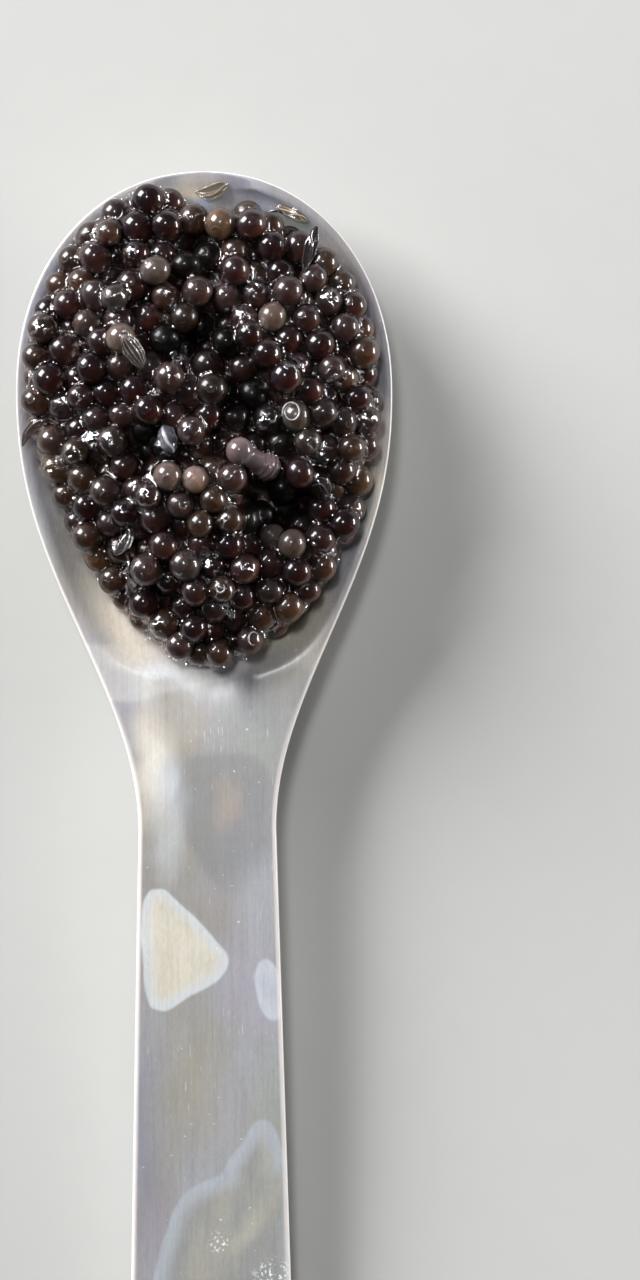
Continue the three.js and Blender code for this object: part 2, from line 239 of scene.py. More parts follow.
def mesh_piece(name, vertices, faces, finish, **shares):
    """A smooth mesh object from arrays, in metres. Each share has a value, or a colour, for every point."""
    mesh = bpy.data.meshes.new(name)
    mesh.from_pydata([tuple(v) for v in vertices], [], [tuple(f) for f in faces])
    mesh.polygons.foreach_set("use_smooth", [True] * len(mesh.polygons))
    for share, values in shares.items():
        if values.ndim == 1:
            mesh.attributes.new(share, "FLOAT", "POINT").data.foreach_set("value", values)
        else:
            mesh.color_attributes.new(share, "FLOAT_COLOR", "POINT").data.foreach_set("color", values.ravel())
    mesh.update()
    mesh.materials.append(finish.material)
    piece = bpy.data.objects.new(name, mesh)
    bpy.context.scene.collection.objects.link(piece)
    return piece


table_finish = Finish("table_top", Roughness=0.9, Specular_IOR_Level=0.15)
table_clouds = table_finish.clouds(table_finish.place(), TABLE_CLOUDS, 3)
table_colour = table_finish.blend(table_clouds, paint(*TABLE_PAINT), paint(*TABLE_PALER_PAINT))
table_finish.set("Base Color", table_colour)
corners = [(TABLE_WIDTH / 2 * x, TABLE_WIDTH / 2 * y, 0) for x, y in ((-1, -1), (1, -1), (1, 1), (-1, 1))]
table = mesh_piece("table", corners, [(0, 1, 2, 3)], table_finish)


# ---------------------------------------------------------------- spoon
# One piece of mother-of-pearl shell, sawn flat, hollowed for the bowl, ground to a gently widening handle
# with a round end, and polished. "along" is the distance from the tip of the bowl towards the end of the
# handle.

SPOON_LENGTH = 125 * mm
TIP_TO_DEEPEST = 20 * mm
TIP_TO_WIDEST = 18.7 * mm
TIP_TO_NECK = 56 * mm
BOWL_HALF_WIDTH = 16 * mm
NECK_HALF_WIDTH = 5.85 * mm
TIP_ROUNDNESS = 2.1
SHOULDER_SKEW = 1.12
HANDLE_FLARE = 0.025
END_ROUND = 8 * mm
END_ROUNDNESS = 2.4
HOLLOW_DEPTH = 4.6 * mm
BOWL_FLOOR = 1.85 * mm
RIM_WIDTH = 1 * mm
HOLLOW_REACH = 24.6 * mm
HOLLOW_END_SQUARENESS = 15
DISH = 2.2
DISH_WALL = 0.8
RIM_SOFTNESS = 0.06  # how far the hollow's edge is polished round, as a share of the dish
NECK_SOFTNESS = 0.1  # and how much more at its end in the neck
BLUNT_END = 4 * mm
BULGE_REACH = 31 * mm
RIM_EDGE = 1.25 * mm
HANDLE_EDGE = 1.85 * mm
HANDLE_CAMBER = 0.35 * mm
ARCH = 1.6 * mm
FOOT_FLAT = 0.2 * mm
END_FLAT = 0.15 * mm
EDGE_ROUND = 0.25 * mm
FIRST_SECTION = 0.03 * mm
HOLLOW_STEPS_SHARE = 0.45  # past the hollow, its points keep this share of the half width
SLOPE_OVER = 0.01 * mm  # length over which the slope of the outline is measured
PAINTED_BRIGHT_EDGE_AT_BOWL = 0.16 * mm  # painted light: the thin edge of the shell is painted bright this far in, for light that comes through it
PAINTED_BRIGHT_EDGE_AT_HANDLE = 0.42 * mm
RIM_COLOUR_FROM = 0.9 * mm  # the bowl's rim has a cooler colour, from this depth in the hollow
RIM_COLOUR_FULL = 0.2 * mm
RIM_COLOUR_END = 30.85 * mm  # from the tip


def rounded(t, power, root=None):
    """How wide a rounded end still is at share t of the way to its tip."""
    return np.maximum(0, 1 - np.clip(t, 0, 1) ** power) ** (1 / (root or power))


def smooth(value, low, high):
    t = np.clip((value - low) / (high - low), 0, 1)
    return t * t * (3 - 2 * t)


def half_width(along):
    tip = BOWL_HALF_WIDTH * rounded((TIP_TO_WIDEST - along) / TIP_TO_WIDEST, TIP_ROUNDNESS)
    taper = np.clip((along - TIP_TO_WIDEST) / (TIP_TO_NECK - TIP_TO_WIDEST), 0, 1) ** SHOULDER_SKEW
    shoulder = NECK_HALF_WIDTH + (BOWL_HALF_WIDTH - NECK_HALF_WIDTH) * (0.5 + 0.5 * np.cos(math.pi * taper))
    into_end = (along - (SPOON_LENGTH - END_ROUND)) / END_ROUND
    handle = (NECK_HALF_WIDTH + HANDLE_FLARE * (along - TIP_TO_NECK)) * rounded(into_end, END_ROUNDNESS)
    return np.where(along < TIP_TO_WIDEST, tip, np.where(along < TIP_TO_NECK, shoulder, handle))


def deck(along):
    """Height of the flat upper side: the rim of the bowl and the top of the handle."""
    at_bowl = HOLLOW_DEPTH + BOWL_FLOOR - FOOT_FLAT
    at_end = HANDLE_EDGE + HANDLE_CAMBER - END_FLAT
    share = (along - TIP_TO_DEEPEST) / (SPOON_LENGTH - TIP_TO_DEEPEST)
    return at_bowl + (at_end - at_bowl) * share + ARCH * np.sin(math.pi * share)


def hollow_half_width(along):
    past = along - TIP_TO_WIDEST
    tip = (BOWL_HALF_WIDTH - RIM_WIDTH) * rounded(-past / (TIP_TO_WIDEST - RIM_WIDTH), TIP_ROUNDNESS)
    handle = (half_width(along) - RIM_WIDTH) * rounded(past / HOLLOW_REACH, HOLLOW_END_SQUARENESS, 2)
    return np.where(past < 0, tip, handle)


def eased(value, softness):
    """The value where it is positive, else 0, with the turn between them rounded."""
    return (value + np.sqrt(value**2 + softness**2)) / (1 + np.sqrt(1 + softness**2))


def dish(x, half, past, tip_reach, handle_reach, softness):
    """A dish's depth, as a share of its deepest, at x across and past the widest point."""
    lengthwise = np.abs(past) / np.where(past < 0, tip_reach, handle_reach)
    crosswise = np.minimum(1.5, np.abs(x) / np.maximum(half, 1e-9))
    inside = eased(1 - lengthwise**2, softness) * eased(1 - crosswise**DISH, softness)
    return inside**DISH_WALL


def upper_side(x, along):
    past = along - TIP_TO_WIDEST
    share = dish(x, hollow_half_width(along), past, TIP_TO_WIDEST - RIM_WIDTH, HOLLOW_REACH, 0.0)
    return deck(along) - HOLLOW_DEPTH * share


def polished_side(x, along):
    """The upper side as polished, with the edge of the hollow gently rounded."""
    past = along - TIP_TO_WIDEST
    half = np.maximum(BLUNT_END, hollow_half_width(along))
    softness = RIM_SOFTNESS + NECK_SOFTNESS * smooth(past, HOLLOW_REACH / 2, HOLLOW_REACH)
    share = dish(x, half, past, TIP_TO_WIDEST - RIM_WIDTH, HOLLOW_REACH, softness)
    return deck(along) - HOLLOW_DEPTH * share


def underside(x, along):
    half = half_width(along)
    past = along - TIP_TO_WIDEST
    edge = RIM_EDGE + (HANDLE_EDGE - RIM_EDGE) * smooth(along, TIP_TO_WIDEST, TIP_TO_NECK)
    bulge = HOLLOW_DEPTH + BOWL_FLOOR - RIM_EDGE
    camber = HANDLE_CAMBER * smooth(past, 0, BULGE_REACH) * (1 - np.minimum(1, np.abs(x) / half) ** 2)
    below = edge + camber + bulge * dish(x, half, past, TIP_TO_WIDEST, BULGE_REACH, 0.0)
    return np.maximum(0, deck(along) - below)


def inwards(x, along):
    """Distance from the spoon's outline."""
    slope = (half_width(along + SLOPE_OVER) - half_width(along - SLOPE_OVER)) / (2 * SLOPE_OVER)
    return np.maximum(0, half_width(along) - np.abs(x)) / np.hypot(1, slope)


def edge_drop(x, along):
    """How far the surface falls away at the ground-round edge."""
    flat = EDGE_ROUND - np.minimum(EDGE_ROUND, inwards(x, along))
    return EDGE_ROUND - np.sqrt(EDGE_ROUND**2 - flat**2)


def painted_edge_light(x, along):
    """1 at the thin edge of the shell, which is painted bright, 0 inside it."""
    reach = PAINTED_BRIGHT_EDGE_AT_BOWL + (PAINTED_BRIGHT_EDGE_AT_HANDLE - PAINTED_BRIGHT_EDGE_AT_BOWL) * smooth(along, TIP_TO_WIDEST, TIP_TO_NECK)
    return 1 - smooth(inwards(x, along), reach / 2, reach)


def on_the_rim(x, along):
    """1 on the flat rim of the bowl, 0 in its hollow and on the handle."""
    depth = deck(along) - polished_side(x, along)
    in_hollow = smooth(depth, RIM_COLOUR_FULL, RIM_COLOUR_FROM)
    return (1 - in_hollow) * (1 - smooth(along, TIP_TO_DEEPEST, RIM_COLOUR_END))


def closed_body(loops):
    """The points and faces of one closed body, from the closed loops of points along it."""
    count, around = loops.shape[:2]
    index = np.arange(count * around).reshape(count, around)
    after = np.roll(index, -1, axis=1)
    faces = np.stack([index[:-1], after[:-1], after[1:], index[1:]], -1).reshape(-1, 4).tolist()
    faces.append(index[0][::-1].tolist())
    faces.append(index[-1].tolist())
    return loops.reshape(-1, 3), faces


def spoon_mesh(steps_along_bowl, steps_along_handle, steps_across_hollow, steps_across_rim):
    """The spoon from closed sections across it, and how much each point has of the painted bright edge and of
    the rim.
    """
    quarter = np.linspace(0, math.pi / 2, steps_along_bowl)
    stations = np.concatenate([
        np.maximum(FIRST_SECTION, TIP_TO_WIDEST * (1 - np.cos(quarter)))[:-1],
        np.linspace(TIP_TO_WIDEST, TIP_TO_NECK, steps_along_bowl)[:-1],
        np.linspace(TIP_TO_NECK, SPOON_LENGTH - END_ROUND, steps_along_handle)[:-1],
        np.minimum(SPOON_LENGTH - FIRST_SECTION, SPOON_LENGTH - END_ROUND * (1 - np.sin(quarter[::2]))),
    ])
    hollow = np.cos(np.linspace(0, math.pi, steps_across_hollow))
    rim = np.sin(np.linspace(0, math.pi / 2, steps_across_rim))[::-1][:-1]
    sections, edges, rims = [], [], []
    for along in stations:
        half = float(half_width(along))
        inner = max(float(hollow_half_width(along)), HOLLOW_STEPS_SHARE * half)
        right = inner + (half - inner) * rim
        x = np.concatenate([right, inner * hollow, -right[::-1]])
        top = polished_side(x, along) - edge_drop(x, along)
        back = x[::-1][::2]
        bottom = underside(back, along) + edge_drop(back, along)
        y = TIP_TO_DEEPEST - along
        upper = np.stack([x, np.full_like(x, y), top], 1)
        lower = np.stack([back, np.full_like(back, y), np.maximum(0, bottom)], 1)
        sections.append(np.concatenate([upper, lower]))
        edges.append(np.concatenate([painted_edge_light(x, along), painted_edge_light(back, along)]))
        rims.append(np.concatenate([on_the_rim(x, along), np.zeros(len(back))]))
    vertices, faces = closed_body(np.array(sections))
    return vertices, faces, np.concatenate(edges), np.concatenate(rims)


# Soft glows and clouds in the shell, in mm: x, y, half width, half length, turn in degrees, strength, colour.
# Some of them are painted light, marked where they stand: walls that lie in the heap's shade are painted
# brighter, and a long ivory strip on the right wall is a painted reflection.
SHELL_GLOWS_AND_PAINTED_LIGHT = [
    (-7.4, -18.6, 3.8, 8.0, 32, 0.9, (226, 215, 198)),
    (-4.0, -23.4, 5.2, 2.4, 6, 0.75, (204, 207, 210)),
    (-3.2, -27.2, 4.4, 3.8, 0, 0.5, (188, 178, 166)),
    (8.3, -21.5, 2.4, 7.0, -30, 0.7, (206, 201, 190)),
    # painted light: this wall lies in the heap's shade, so it is painted brighter
    (6.6, -16.6, 4.6, 7.2, -32, 0.95, (222, 212, 178)),
    # painted light: the next two brighten the tip's inner wall, which lies in shade
    (-1.0, 18.2, 4.6, 1.6, 6, 0.95, (250, 243, 222)),
    (-0.3, 17.3, 1.5, 1.0, 10, 0.8, (190, 206, 234)),
    (1.2, 16.6, 2.0, 1.0, -20, 0.7, (206, 204, 196)),
    (5.6, 16.8, 3.0, 1.2, -28, 0.5, (178, 184, 202)),
    (8.0, 14.7, 1.6, 2.0, 0, 0.7, (124, 132, 126)),
    # painted reflection: a long ivory strip on the right inner wall
    (14.6, -2.2, 1.3, 14.0, 0, 0.9, (236, 230, 214)),
    (-13.3, 8.5, 2.6, 7.0, -24, 0.6, (180, 184, 202)),
    (-4.5, -30.2, 2.6, 8.0, 3, 0.85, (232, 226, 215)),
    (-3.0, -32.3, 2.4, 5.0, 10, 0.55, (200, 208, 220)),
    (2.4, -33.3, 2.8, 5.0, 0, 0.4, (178, 166, 160)),
    (-3.7, -37.0, 2.3, 4.8, 0, 0.7, (188, 191, 195)),
    (3.8, -38.8, 2.8, 2.8, 0, 0.6, (162, 169, 177)),
    (4.3, -43.3, 3.4, 7.0, -8, 0.6, (166, 171, 176)),
    (-1.2, -57.8, 5.0, 9.0, 0, 0.55, (160, 156, 138)),
    (-6.3, -62.5, 3.4, 14.0, -2, 0.6, (136, 138, 156)),
    (-6.2, -46.0, 2.4, 12.0, 0, 0.4, (148, 147, 156)),
]
BLUSH = (1.5, -33.6, 2.3, 3.6, -4, 0.6, (174, 160, 150))
LOBE_STREAK = (3.4, -69.8, 1.4, 5.0, -38, 0.5, (190, 187, 170))

# Patches where another layer of the shell shows, in mm: their corners, clockwise. The bowl's end runs out
# in a paler collar, and under the neck a darker layer shows in a lobe with a clear left edge. The pale
# islands, where the tool went through to another layer, are a triangle by the left edge, a lens by the
# right one, and a lobe that runs on to the end of the handle, with a tongue at its right.
COLLAR = [(-12, -20), (5.5, -20.5), (4.5, -22.2), (2.7, -23.4), (-6.6, -25.3), (-12, -25)]
DARK_LOBE = [
    (-3.1, -32.9), (-2.6, -31.0), (-1.4, -29.6), (1.4, -28.9), (4.2, -29.5),
    (6.2, -31.5), (6.5, -42), (1.5, -41.9), (-0.75, -39.4), (-2.4, -36.3),
]
TRIANGLE = [
    (-5.65, -42.2), (-5.0, -40.9), (-3.6, -40.8), (0.6, -45.0), (1.7, -46.4),
    (1.75, -47.6), (0.9, -48.8), (-3.6, -51.6), (-5.0, -51.2), (-5.65, -49.4),
]
TONGUE = [
    (1.2, -64.6), (2.9, -62.0), (4.0, -60.7), (5.0, -60.7), (5.7, -61.4),
    (6.2, -62.8), (7.0, -65.4), (7.5, -70), (1, -70),
]
LOBE = [
    (7.5, -63.5), (7.5, -97), (0, -99), (-5.4, -93), (-5.9, -80), (-5.2, -74.2),
    (-4.6, -71.6), (-3.6, -68.7), (-2.4, -67.0), (-0.4, -65.9),
]

# Round patches in mm: x, y, half width, half length, turn in degrees.
DARK_LOBE_FADES = (1.6, -34.6, 5.4, 7.6, -4)
LENS_PATCH = (5.15, -49.6, 1.25, 2.7, 9)
PITTED = (0.9, -71.1, 1.3, 1.3)
SCUFFED = (5.3, -73.8, 1.7, 1.5)
LAYERS_WANDER = 3.4 * mm  # how far the soft layers stray from their places
ISLANDS_WANDER = 0.9 * mm


def oval(finish, place, x, y, half_width, half_length, turn=0):
    """0 in the middle of an oval place on the spoon, 1 at its edge, from its sizes in mm."""
    sockets = {
        "Vector": place,
        "Location": (x * mm, y * mm, 0),
        "Rotation": (0, 0, math.radians(turn)),
        "Scale": (half_width * mm, half_length * mm, 1),
    }
    inside = finish.node("ShaderNodeMapping", {"vector_type": "TEXTURE"}, sockets)
    return finish.vector("LENGTH", inside, output="Value")


def island(finish, place, corners, softness):
    """Distance outside a rounded patch of shell, negative inside, from its corners in mm, clockwise."""
    outside = None
    for (x0, y0), (x1, y1) in zip(corners, corners[1:] + corners[:1]):
        length = math.hypot(x1 - x0, y1 - y0)
        normal = (-(y1 - y0) / length, (x1 - x0) / length, 0)
        offset = (normal[0] * x0 + normal[1] * y0) * mm
        side = finish.vector("DOT_PRODUCT", place, normal, output="Value") - offset
        outside = side if outside is None else side.math("SMOOTH_MAX", outside, side, softness)
    return outside


def glowing(finish, place, colour, glow):
    """The colour with a soft glow over it, from a row like those of the shell's glows. Some rows are painted
    light.
    """
    *patch, strength, shade = glow
    inside = 1 - finish.step(oval(finish, place, *patch), 0.0, 1.0)
    return finish.blend(inside * strength, colour, paint(*shade))


def growth_layers(finish, place):
    """The shell's growth layers, which drift lengthwise between warm and cool greys, lilac and green."""
    growth = finish.clouds(finish.stretched(place, 1, 0.45, 1), 110, 3)
    colour = finish.blend(finish.step(growth, 0.3, 0.7), paint(148, 144, 136), paint(160, 161, 166))
    lilac = finish.clouds(finish.stretched(place, 1, 0.4, 1), 150, 2)
    colour = finish.blend(finish.step(lilac, 0.52, 0.8) * 0.4, colour, paint(168, 158, 176))
    green = finish.clouds(finish.stretched(place, 1.2, 0.5, 1.4), 90, 2)
    return finish.blend(finish.step(green, 0.55, 0.8) * 0.5, colour, paint(152, 158, 142))


def ground_layers(finish, wandering, steady, colour):
    """The layers that the bowl and the neck were ground into, with their glows, some of them painted light.
    """
    collar = 1 - finish.step(island(finish, steady, COLLAR, 0.5 * mm), -0.5 * mm, 0.1 * mm)
    colour = finish.blend(collar * 0.5, colour, paint(200, 197, 194))
    for glow in SHELL_GLOWS_AND_PAINTED_LIGHT:
        colour = glowing(finish, wandering, colour, glow)
    dark_lobe = 1 - finish.step(island(finish, steady, DARK_LOBE, 0.6 * mm), -0.7 * mm, 0.2 * mm)
    fading = 1 - finish.step(oval(finish, wandering, *DARK_LOBE_FADES), 0.6, 1.1)
    colour = finish.blend(dark_lobe * fading * 0.7, colour, paint(134, 135, 136))
    return glowing(finish, wandering, colour, BLUSH)


def pale_islands(finish, wandering, steady, colour):
    """The pale islands of the handle, each with a rim of one colour and a heart of another."""
    triangle = island(finish, steady, TRIANGLE, 0.5 * mm)
    triangle_heart = 1 - finish.step(triangle, -1.5 * mm, -0.1 * mm)
    fibres = finish.clouds(finish.stretched(wandering, 1, 0.4, 1), 700, 4, 0.6)
    cream = finish.blend(finish.step(fibres, 0.3, 0.7), paint(199, 193, 179), paint(210, 205, 192))
    triangle_colour = finish.blend(triangle_heart, paint(200, 204, 207), cream)
    colour = finish.blend(1 - finish.step(triangle, -0.2 * mm, 0.1 * mm), colour, triangle_colour)

    lens = oval(finish, steady, *LENS_PATCH)
    lens_colour = finish.blend(1 - finish.step(lens, 0.0, 0.95), paint(188, 192, 200), paint(178, 182, 190))
    colour = finish.blend(1 - finish.step(lens, 0.88, 1.06), colour, lens_colour)

    tongue = island(finish, steady, TONGUE, 0.6 * mm)
    lobe = tongue.math("SMOOTH_MIN", tongue, island(finish, steady, LOBE, 0.6 * mm), 1.0 * mm)
    lobe_heart = 1 - finish.step(lobe, -2.0 * mm, -0.4 * mm)
    veins = finish.clouds(finish.stretched(wandering, 1, 0.35, 1), 260, 3)
    grey = finish.blend(finish.step(veins, 0.35, 0.7), paint(150, 151, 150), paint(166, 164, 156))
    lobe_colour = finish.blend(lobe_heart, paint(172, 177, 184), grey)
    colour = finish.blend(1 - finish.step(lobe, -0.25 * mm, 0.1 * mm), colour, lobe_colour)
    return glowing(finish, wandering, colour, LOBE_STREAK)


def wear(finish, place, wandering, streaks, colour):
    """Lengthwise marks of polishing, a fine grain, short scratches, and white specks and pits."""
    colour = finish.tint(finish.step(streaks, 0.35, 0.75) * 0.3, colour, paint(206, 206, 208))
    grain = finish.clouds(finish.stretched(place, 1, 0.3, 1), 5200, 3, 0.7)
    colour = finish.tint(finish.step(grain, 0.4, 0.7) * 0.25, colour, paint(214, 213, 210))
    scratches = finish.clouds(finish.stretched(place, 1, 0.07, 1), 9000, 0)
    scratched = finish.step(finish.clouds(place, 120, 1), 0.48, 0.6)
    colour = finish.blend(finish.step(scratches, 0.76, 0.84) * scratched * 0.4, colour, paint(220, 220, 220))
    specks = finish.clouds(place, 2200, 1)
    colour = finish.blend(finish.step(specks, 0.76, 0.82) * 0.6, colour, paint(235, 235, 235))
    pitted = 1 - finish.step(oval(finish, wandering, *PITTED), 0.4, 1.0)
    scuffed = 1 - finish.step(oval(finish, wandering, *SCUFFED), 0.4, 1.0)
    pits = finish.step(finish.clouds(place, 3800, 2), 0.54, 0.64)
    return finish.blend(pits * (pitted + scuffed) * 0.9, colour, paint(236, 238, 240))


def pearl_finish():
    finish = Finish(
        "mother_of_pearl",
        Subsurface_Weight=0.5,
        Subsurface_Radius=(1.0, 0.85, 0.75),
        Subsurface_Scale=1.5 * mm,
        Coat_Weight=0.22,
        Coat_Roughness=0.24,
        Specular_IOR_Level=0.5,
    )
    place = finish.place()
    drift = finish.node("ShaderNodeTexNoise", {}, {"Vector": place, "Scale": 160, "Detail": 2}, "Color")
    drift = finish.vector("SUBTRACT", drift, (0.5, 0.5, 0.5))
    wandering = finish.vector("MULTIPLY_ADD", drift, (LAYERS_WANDER, LAYERS_WANDER, LAYERS_WANDER), place)
    steady = finish.vector("MULTIPLY_ADD", drift, (ISLANDS_WANDER, ISLANDS_WANDER, ISLANDS_WANDER), place)
    streaks = finish.clouds(finish.stretched(place, 1, 0.02, 1), 3600, 3, 0.6)

    colour = growth_layers(finish, wandering)
    colour = ground_layers(finish, wandering, steady, colour)
    colour = pale_islands(finish, wandering, steady, colour)
    colour = wear(finish, place, wandering, streaks, colour)
    colour = finish.tint(finish.share("rim"), colour, paint(218, 218, 226))
    # Painted light: the thin edge of the shell is painted brighter, for the light that shines through it.
    colour = finish.blend(finish.share("edge") * 0.7, colour, paint(222, 217, 214))
    finish.set("Base Color", colour)
    finish.set("Roughness", 0.26 + 0.16 * streaks)
    ripples = finish.clouds(finish.stretched(wandering, 1, 0.5, 1), 420, 2)
    soft = finish.relief(ripples, 0.12 * mm, 0.35)
    finish.set("Normal", finish.relief(streaks, 0.01 * mm, 0.5, soft))
    return finish


vertices, faces, edge, rim = spoon_mesh(
    steps_along_bowl=110, steps_along_handle=90, steps_across_hollow=73, steps_across_rim=13
)
spoon = mesh_piece("pearl_spoon", vertices, faces, pearl_finish(), edge=edge, rim=rim)
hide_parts("spoon")
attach(spoon, "root")


# ---------------------------------------------------------------- heap of eggs
# A few hundred sturgeon eggs lie where they rolled when the spoon was filled. They are spread in loose rows
# through the heap, and then sink and push one another apart until they touch.

EGG_RADIUS = 1.2 * mm
EGG_SPREAD = 0.1
EGG_SPACING = 2.3 * mm
START_JITTER = 0.9 * mm
HIGHEST_START = 20 * mm
SETTLING_ROUNDS = 140
SINKING_ROUNDS = 112
SINK = 0.03 * mm
PUSH = 0.42
SLOPE_STEP = 0.05 * mm
SEED = 20
DICE_FACTOR = 1664525
DICE_STEP = 1013904223
DICE_RANGE = 4294967296
HEAP_CENTRE_Y = 1.5 * mm
HEAP_LEFT = 15.5 * mm
HEAP_RIGHT = 15.1 * mm
HEAP_TO_TIP = 17.8 * mm
HEAP_TO_HANDLE = 24.4 * mm
HEAP_TIP_ROUNDNESS = 2
HEAP_HANDLE_ROUNDNESS = 1.7
HEAP_EDGE = 2.5 * mm
HEAP_RISE = 5.4 * mm
HEAP_ROUNDNESS = 2.2
LEAN_FROM = 8 * mm
HEAP_LEAN = 2.4 * mm
BELLY = 0.9 * mm
WAVE_HEIGHT = 0.55 * mm
WAVE_LENGTH = 6.4 * mm
WAVE_TURN_ACROSS = 0.5
WAVE_TURN_ALONG = 0.4
SPOON_CLEARANCE = 0.2 * mm
LOOK_RISES = (0.1, 0.4, 0.7, 0.97)  # from where an egg is looked for: heights on a ball round it
LOOK_TURNS = 10
HIDING_SHARE = 0.85  # of an egg's radius, within which it hides what is behind it
HIDDEN = 0.02  # eggs with no larger share in sight are left out

# Ridges and hollows of the heap in mm: x, y, radius, height.
RELIEF = [
    (0.2, 5.6, 2.1, -4),
    (2.9, 0.6, 2, -3.6),
    (5.5, -2.8, 1.5, -2.8),
    (5.8, -9, 2.7, -4.4),
    (-4.2, -3.4, 2, -3.6),
    (-3.6, 4.4, 1.5, -2.8),
    (-0.8, 12.8, 1.9, -2.4),
    (-0.9, -8.4, 3.4, 1.5),
    (6.2, 1.8, 2.6, 1.6),
    (-8, 5.6, 3.6, 0.9),
]

# Where the heap keeps farther from the tip and bare shell shows: x and half width in mm, and the share of
# its reach.
DENTS = [(0.5, 2.4, 0.17), (7, 2.2, 0.07)]

HOLLOW_FROM = 0.4 * mm  # a hollow is painted dark from this depth on, and darkest from the next
HOLLOW_FULL = 2 * mm


def spoon_top(x, y):
    """Height of the shell under the heap."""
    return upper_side(x, TIP_TO_DEEPEST - y)


def middle_of_heap(y):
    leaning = -HEAP_LEAN * ((y - LEAN_FROM) / (HEAP_CENTRE_Y + HEAP_TO_TIP - LEAN_FROM)) ** 2
    belly = BELLY * np.sin(math.pi * -y / HEAP_TO_HANDLE)
    return np.where(y > LEAN_FROM, leaning, np.where(y > 0, 0, belly))


def reach_to_tip(x):
    """How far the heap reaches from its centre towards the spoon's tip."""
    share = 1
    for dent_x, dent_half_width, depth in DENTS:
        share = share - depth * np.exp(-((x - dent_x * mm) / (dent_half_width * mm)) ** 2)
    return HEAP_TO_TIP * share


def outward(x, y):
    """0 at the middle of the heap's footprint, 1 at its outline."""
    side = x - middle_of_heap(y)
    across = np.abs(side) / np.where(side < 0, HEAP_LEFT, HEAP_RIGHT)
    from_centre = y - HEAP_CENTRE_Y
    lengthwise = np.abs(from_centre) / np.where(from_centre > 0, reach_to_tip(x), HEAP_TO_HANDLE)
    power = np.where(from_centre > 0, HEAP_TIP_ROUNDNESS, HEAP_HANDLE_ROUNDNESS)
    return (across**power + lengthwise**power) ** (1 / power)


def ceiling(x, y, relief=RELIEF):
    """The height that the tops of the eggs stay under."""
    q = np.minimum(1, outward(x, y))
    z = deck(TIP_TO_DEEPEST - y) + HEAP_EDGE + HEAP_RISE * (1 - q**HEAP_ROUNDNESS)
    phase = 2 * math.pi / WAVE_LENGTH
    waves = np.sin(phase * (x + WAVE_TURN_ACROSS * y)) * np.sin(phase * (y - WAVE_TURN_ALONG * x))
    z = z + WAVE_HEIGHT * waves
    for form_x, form_y, radius, height in relief:
        share = ((x - form_x * mm) ** 2 + (y - form_y * mm) ** 2) / (radius * mm) ** 2
        z = z + height * mm * np.exp(-share)
    return z


def daylight(x, y):
    """1 on the open heap, 0 at the bottom of its hollows, where hardly any light gets in."""
    hollows = [(form_x, form_y, radius, height) for form_x, form_y, radius, height in RELIEF if height < 0]
    deep = ceiling(x, y, []) - ceiling(x, y, hollows)
    return 1 - smooth(deep, HOLLOW_FROM, HOLLOW_FULL)


def dice(seed):
    """A seeded row of numbers from 0 to 1."""
    state = seed
    while True:
        state = (state * DICE_FACTOR + DICE_STEP) % DICE_RANGE
        yield state / DICE_RANGE


def scattered_eggs():
    """Eggs in loose staggered rows through the whole of the heap, as rows of x, y, z and radius."""
    roll = dice(SEED)
    eggs = []
    row = EGG_SPACING * math.sqrt(3 / 4)
    layer = EGG_SPACING * math.sqrt(2 / 3)
    for height in range(int((HIGHEST_START - EGG_RADIUS) / layer) + 1):
        z = EGG_RADIUS + height * layer
        for line in range(int((HEAP_TO_TIP + HEAP_CENTRE_Y + HEAP_TO_HANDLE) / row) + 1):
            y = -HEAP_TO_HANDLE + line * row
            shift = EGG_SPACING * ((line + height) % 2) / 2
            for place in range(math.ceil((HEAP_RIGHT - shift + HEAP_LEFT) / EGG_SPACING)):
                x = shift - HEAP_LEFT + place * EGG_SPACING
                radius = EGG_RADIUS * (1 + EGG_SPREAD * (2 * next(roll) - 1))
                egg_x = x + START_JITTER * (next(roll) - 0.5)
                egg_y = y + START_JITTER * (next(roll) - 0.5) + row * (height % 3) / 3
                egg_z = z + START_JITTER * (next(roll) - 0.5)
                eggs.append((egg_x, egg_y, egg_z, radius))
    x, y, z, radius = np.array(eggs).T
    inside = outward(x, y) < 1 - radius / HEAP_RIGHT
    above = z > spoon_top(x, y) + radius
    below = z < ceiling(x, y) - radius
    return np.array(eggs)[inside & above & below]


def contain(x, y, z, radius):
    """Keeps the eggs off the shell, inside the footprint and under the ceiling."""
    slope_x = (spoon_top(x + SLOPE_STEP, y) - spoon_top(x - SLOPE_STEP, y)) / (2 * SLOPE_STEP)
    slope_y = (spoon_top(x, y + SLOPE_STEP) - spoon_top(x, y - SLOPE_STEP)) / (2 * SLOPE_STEP)
    steepness = np.sqrt(1 + slope_x**2 + slope_y**2)
    lift = np.maximum(0, radius + SPOON_CLEARANCE - (z - spoon_top(x, y)) / steepness)
    x = x - slope_x / steepness * lift
    y = y - slope_y / steepness * lift
    z = z + lift / steepness
    share = outward(x, y)
    most = 1 - radius / HEAP_RIGHT
    inwards = np.where(share > most, most / share, 1)
    middle = middle_of_heap(y)
    x = middle + (x - middle) * inwards
    y = HEAP_CENTRE_Y + (y - HEAP_CENTRE_Y) * inwards
    over = z + radius - ceiling(x, y)
    z = z - np.clip(over, 0, SINK)
    return x, y, z


def settled(eggs):
    """Lets the eggs sink, and push one another apart, until they lie in a heap."""
    centres, radius = eggs[:, :3].copy(), eggs[:, 3]
    reach = radius[:, None] + radius[None, :]
    for turn in range(SETTLING_ROUNDS):
        gap = centres[:, None] - centres[None, :]
        apart = np.sqrt((gap**2).sum(-1))
        np.fill_diagonal(apart, 1)
        overlap = np.maximum(0, reach - apart)
        np.fill_diagonal(overlap, 0)
        centres += (gap * (PUSH * overlap / apart)[:, :, None]).sum(1)
        if turn < SINKING_ROUNDS:
            centres[:, 2] -= SINK
        centres = np.stack(contain(*centres.T, radius), 1)
    return np.column_stack([centres, radius])


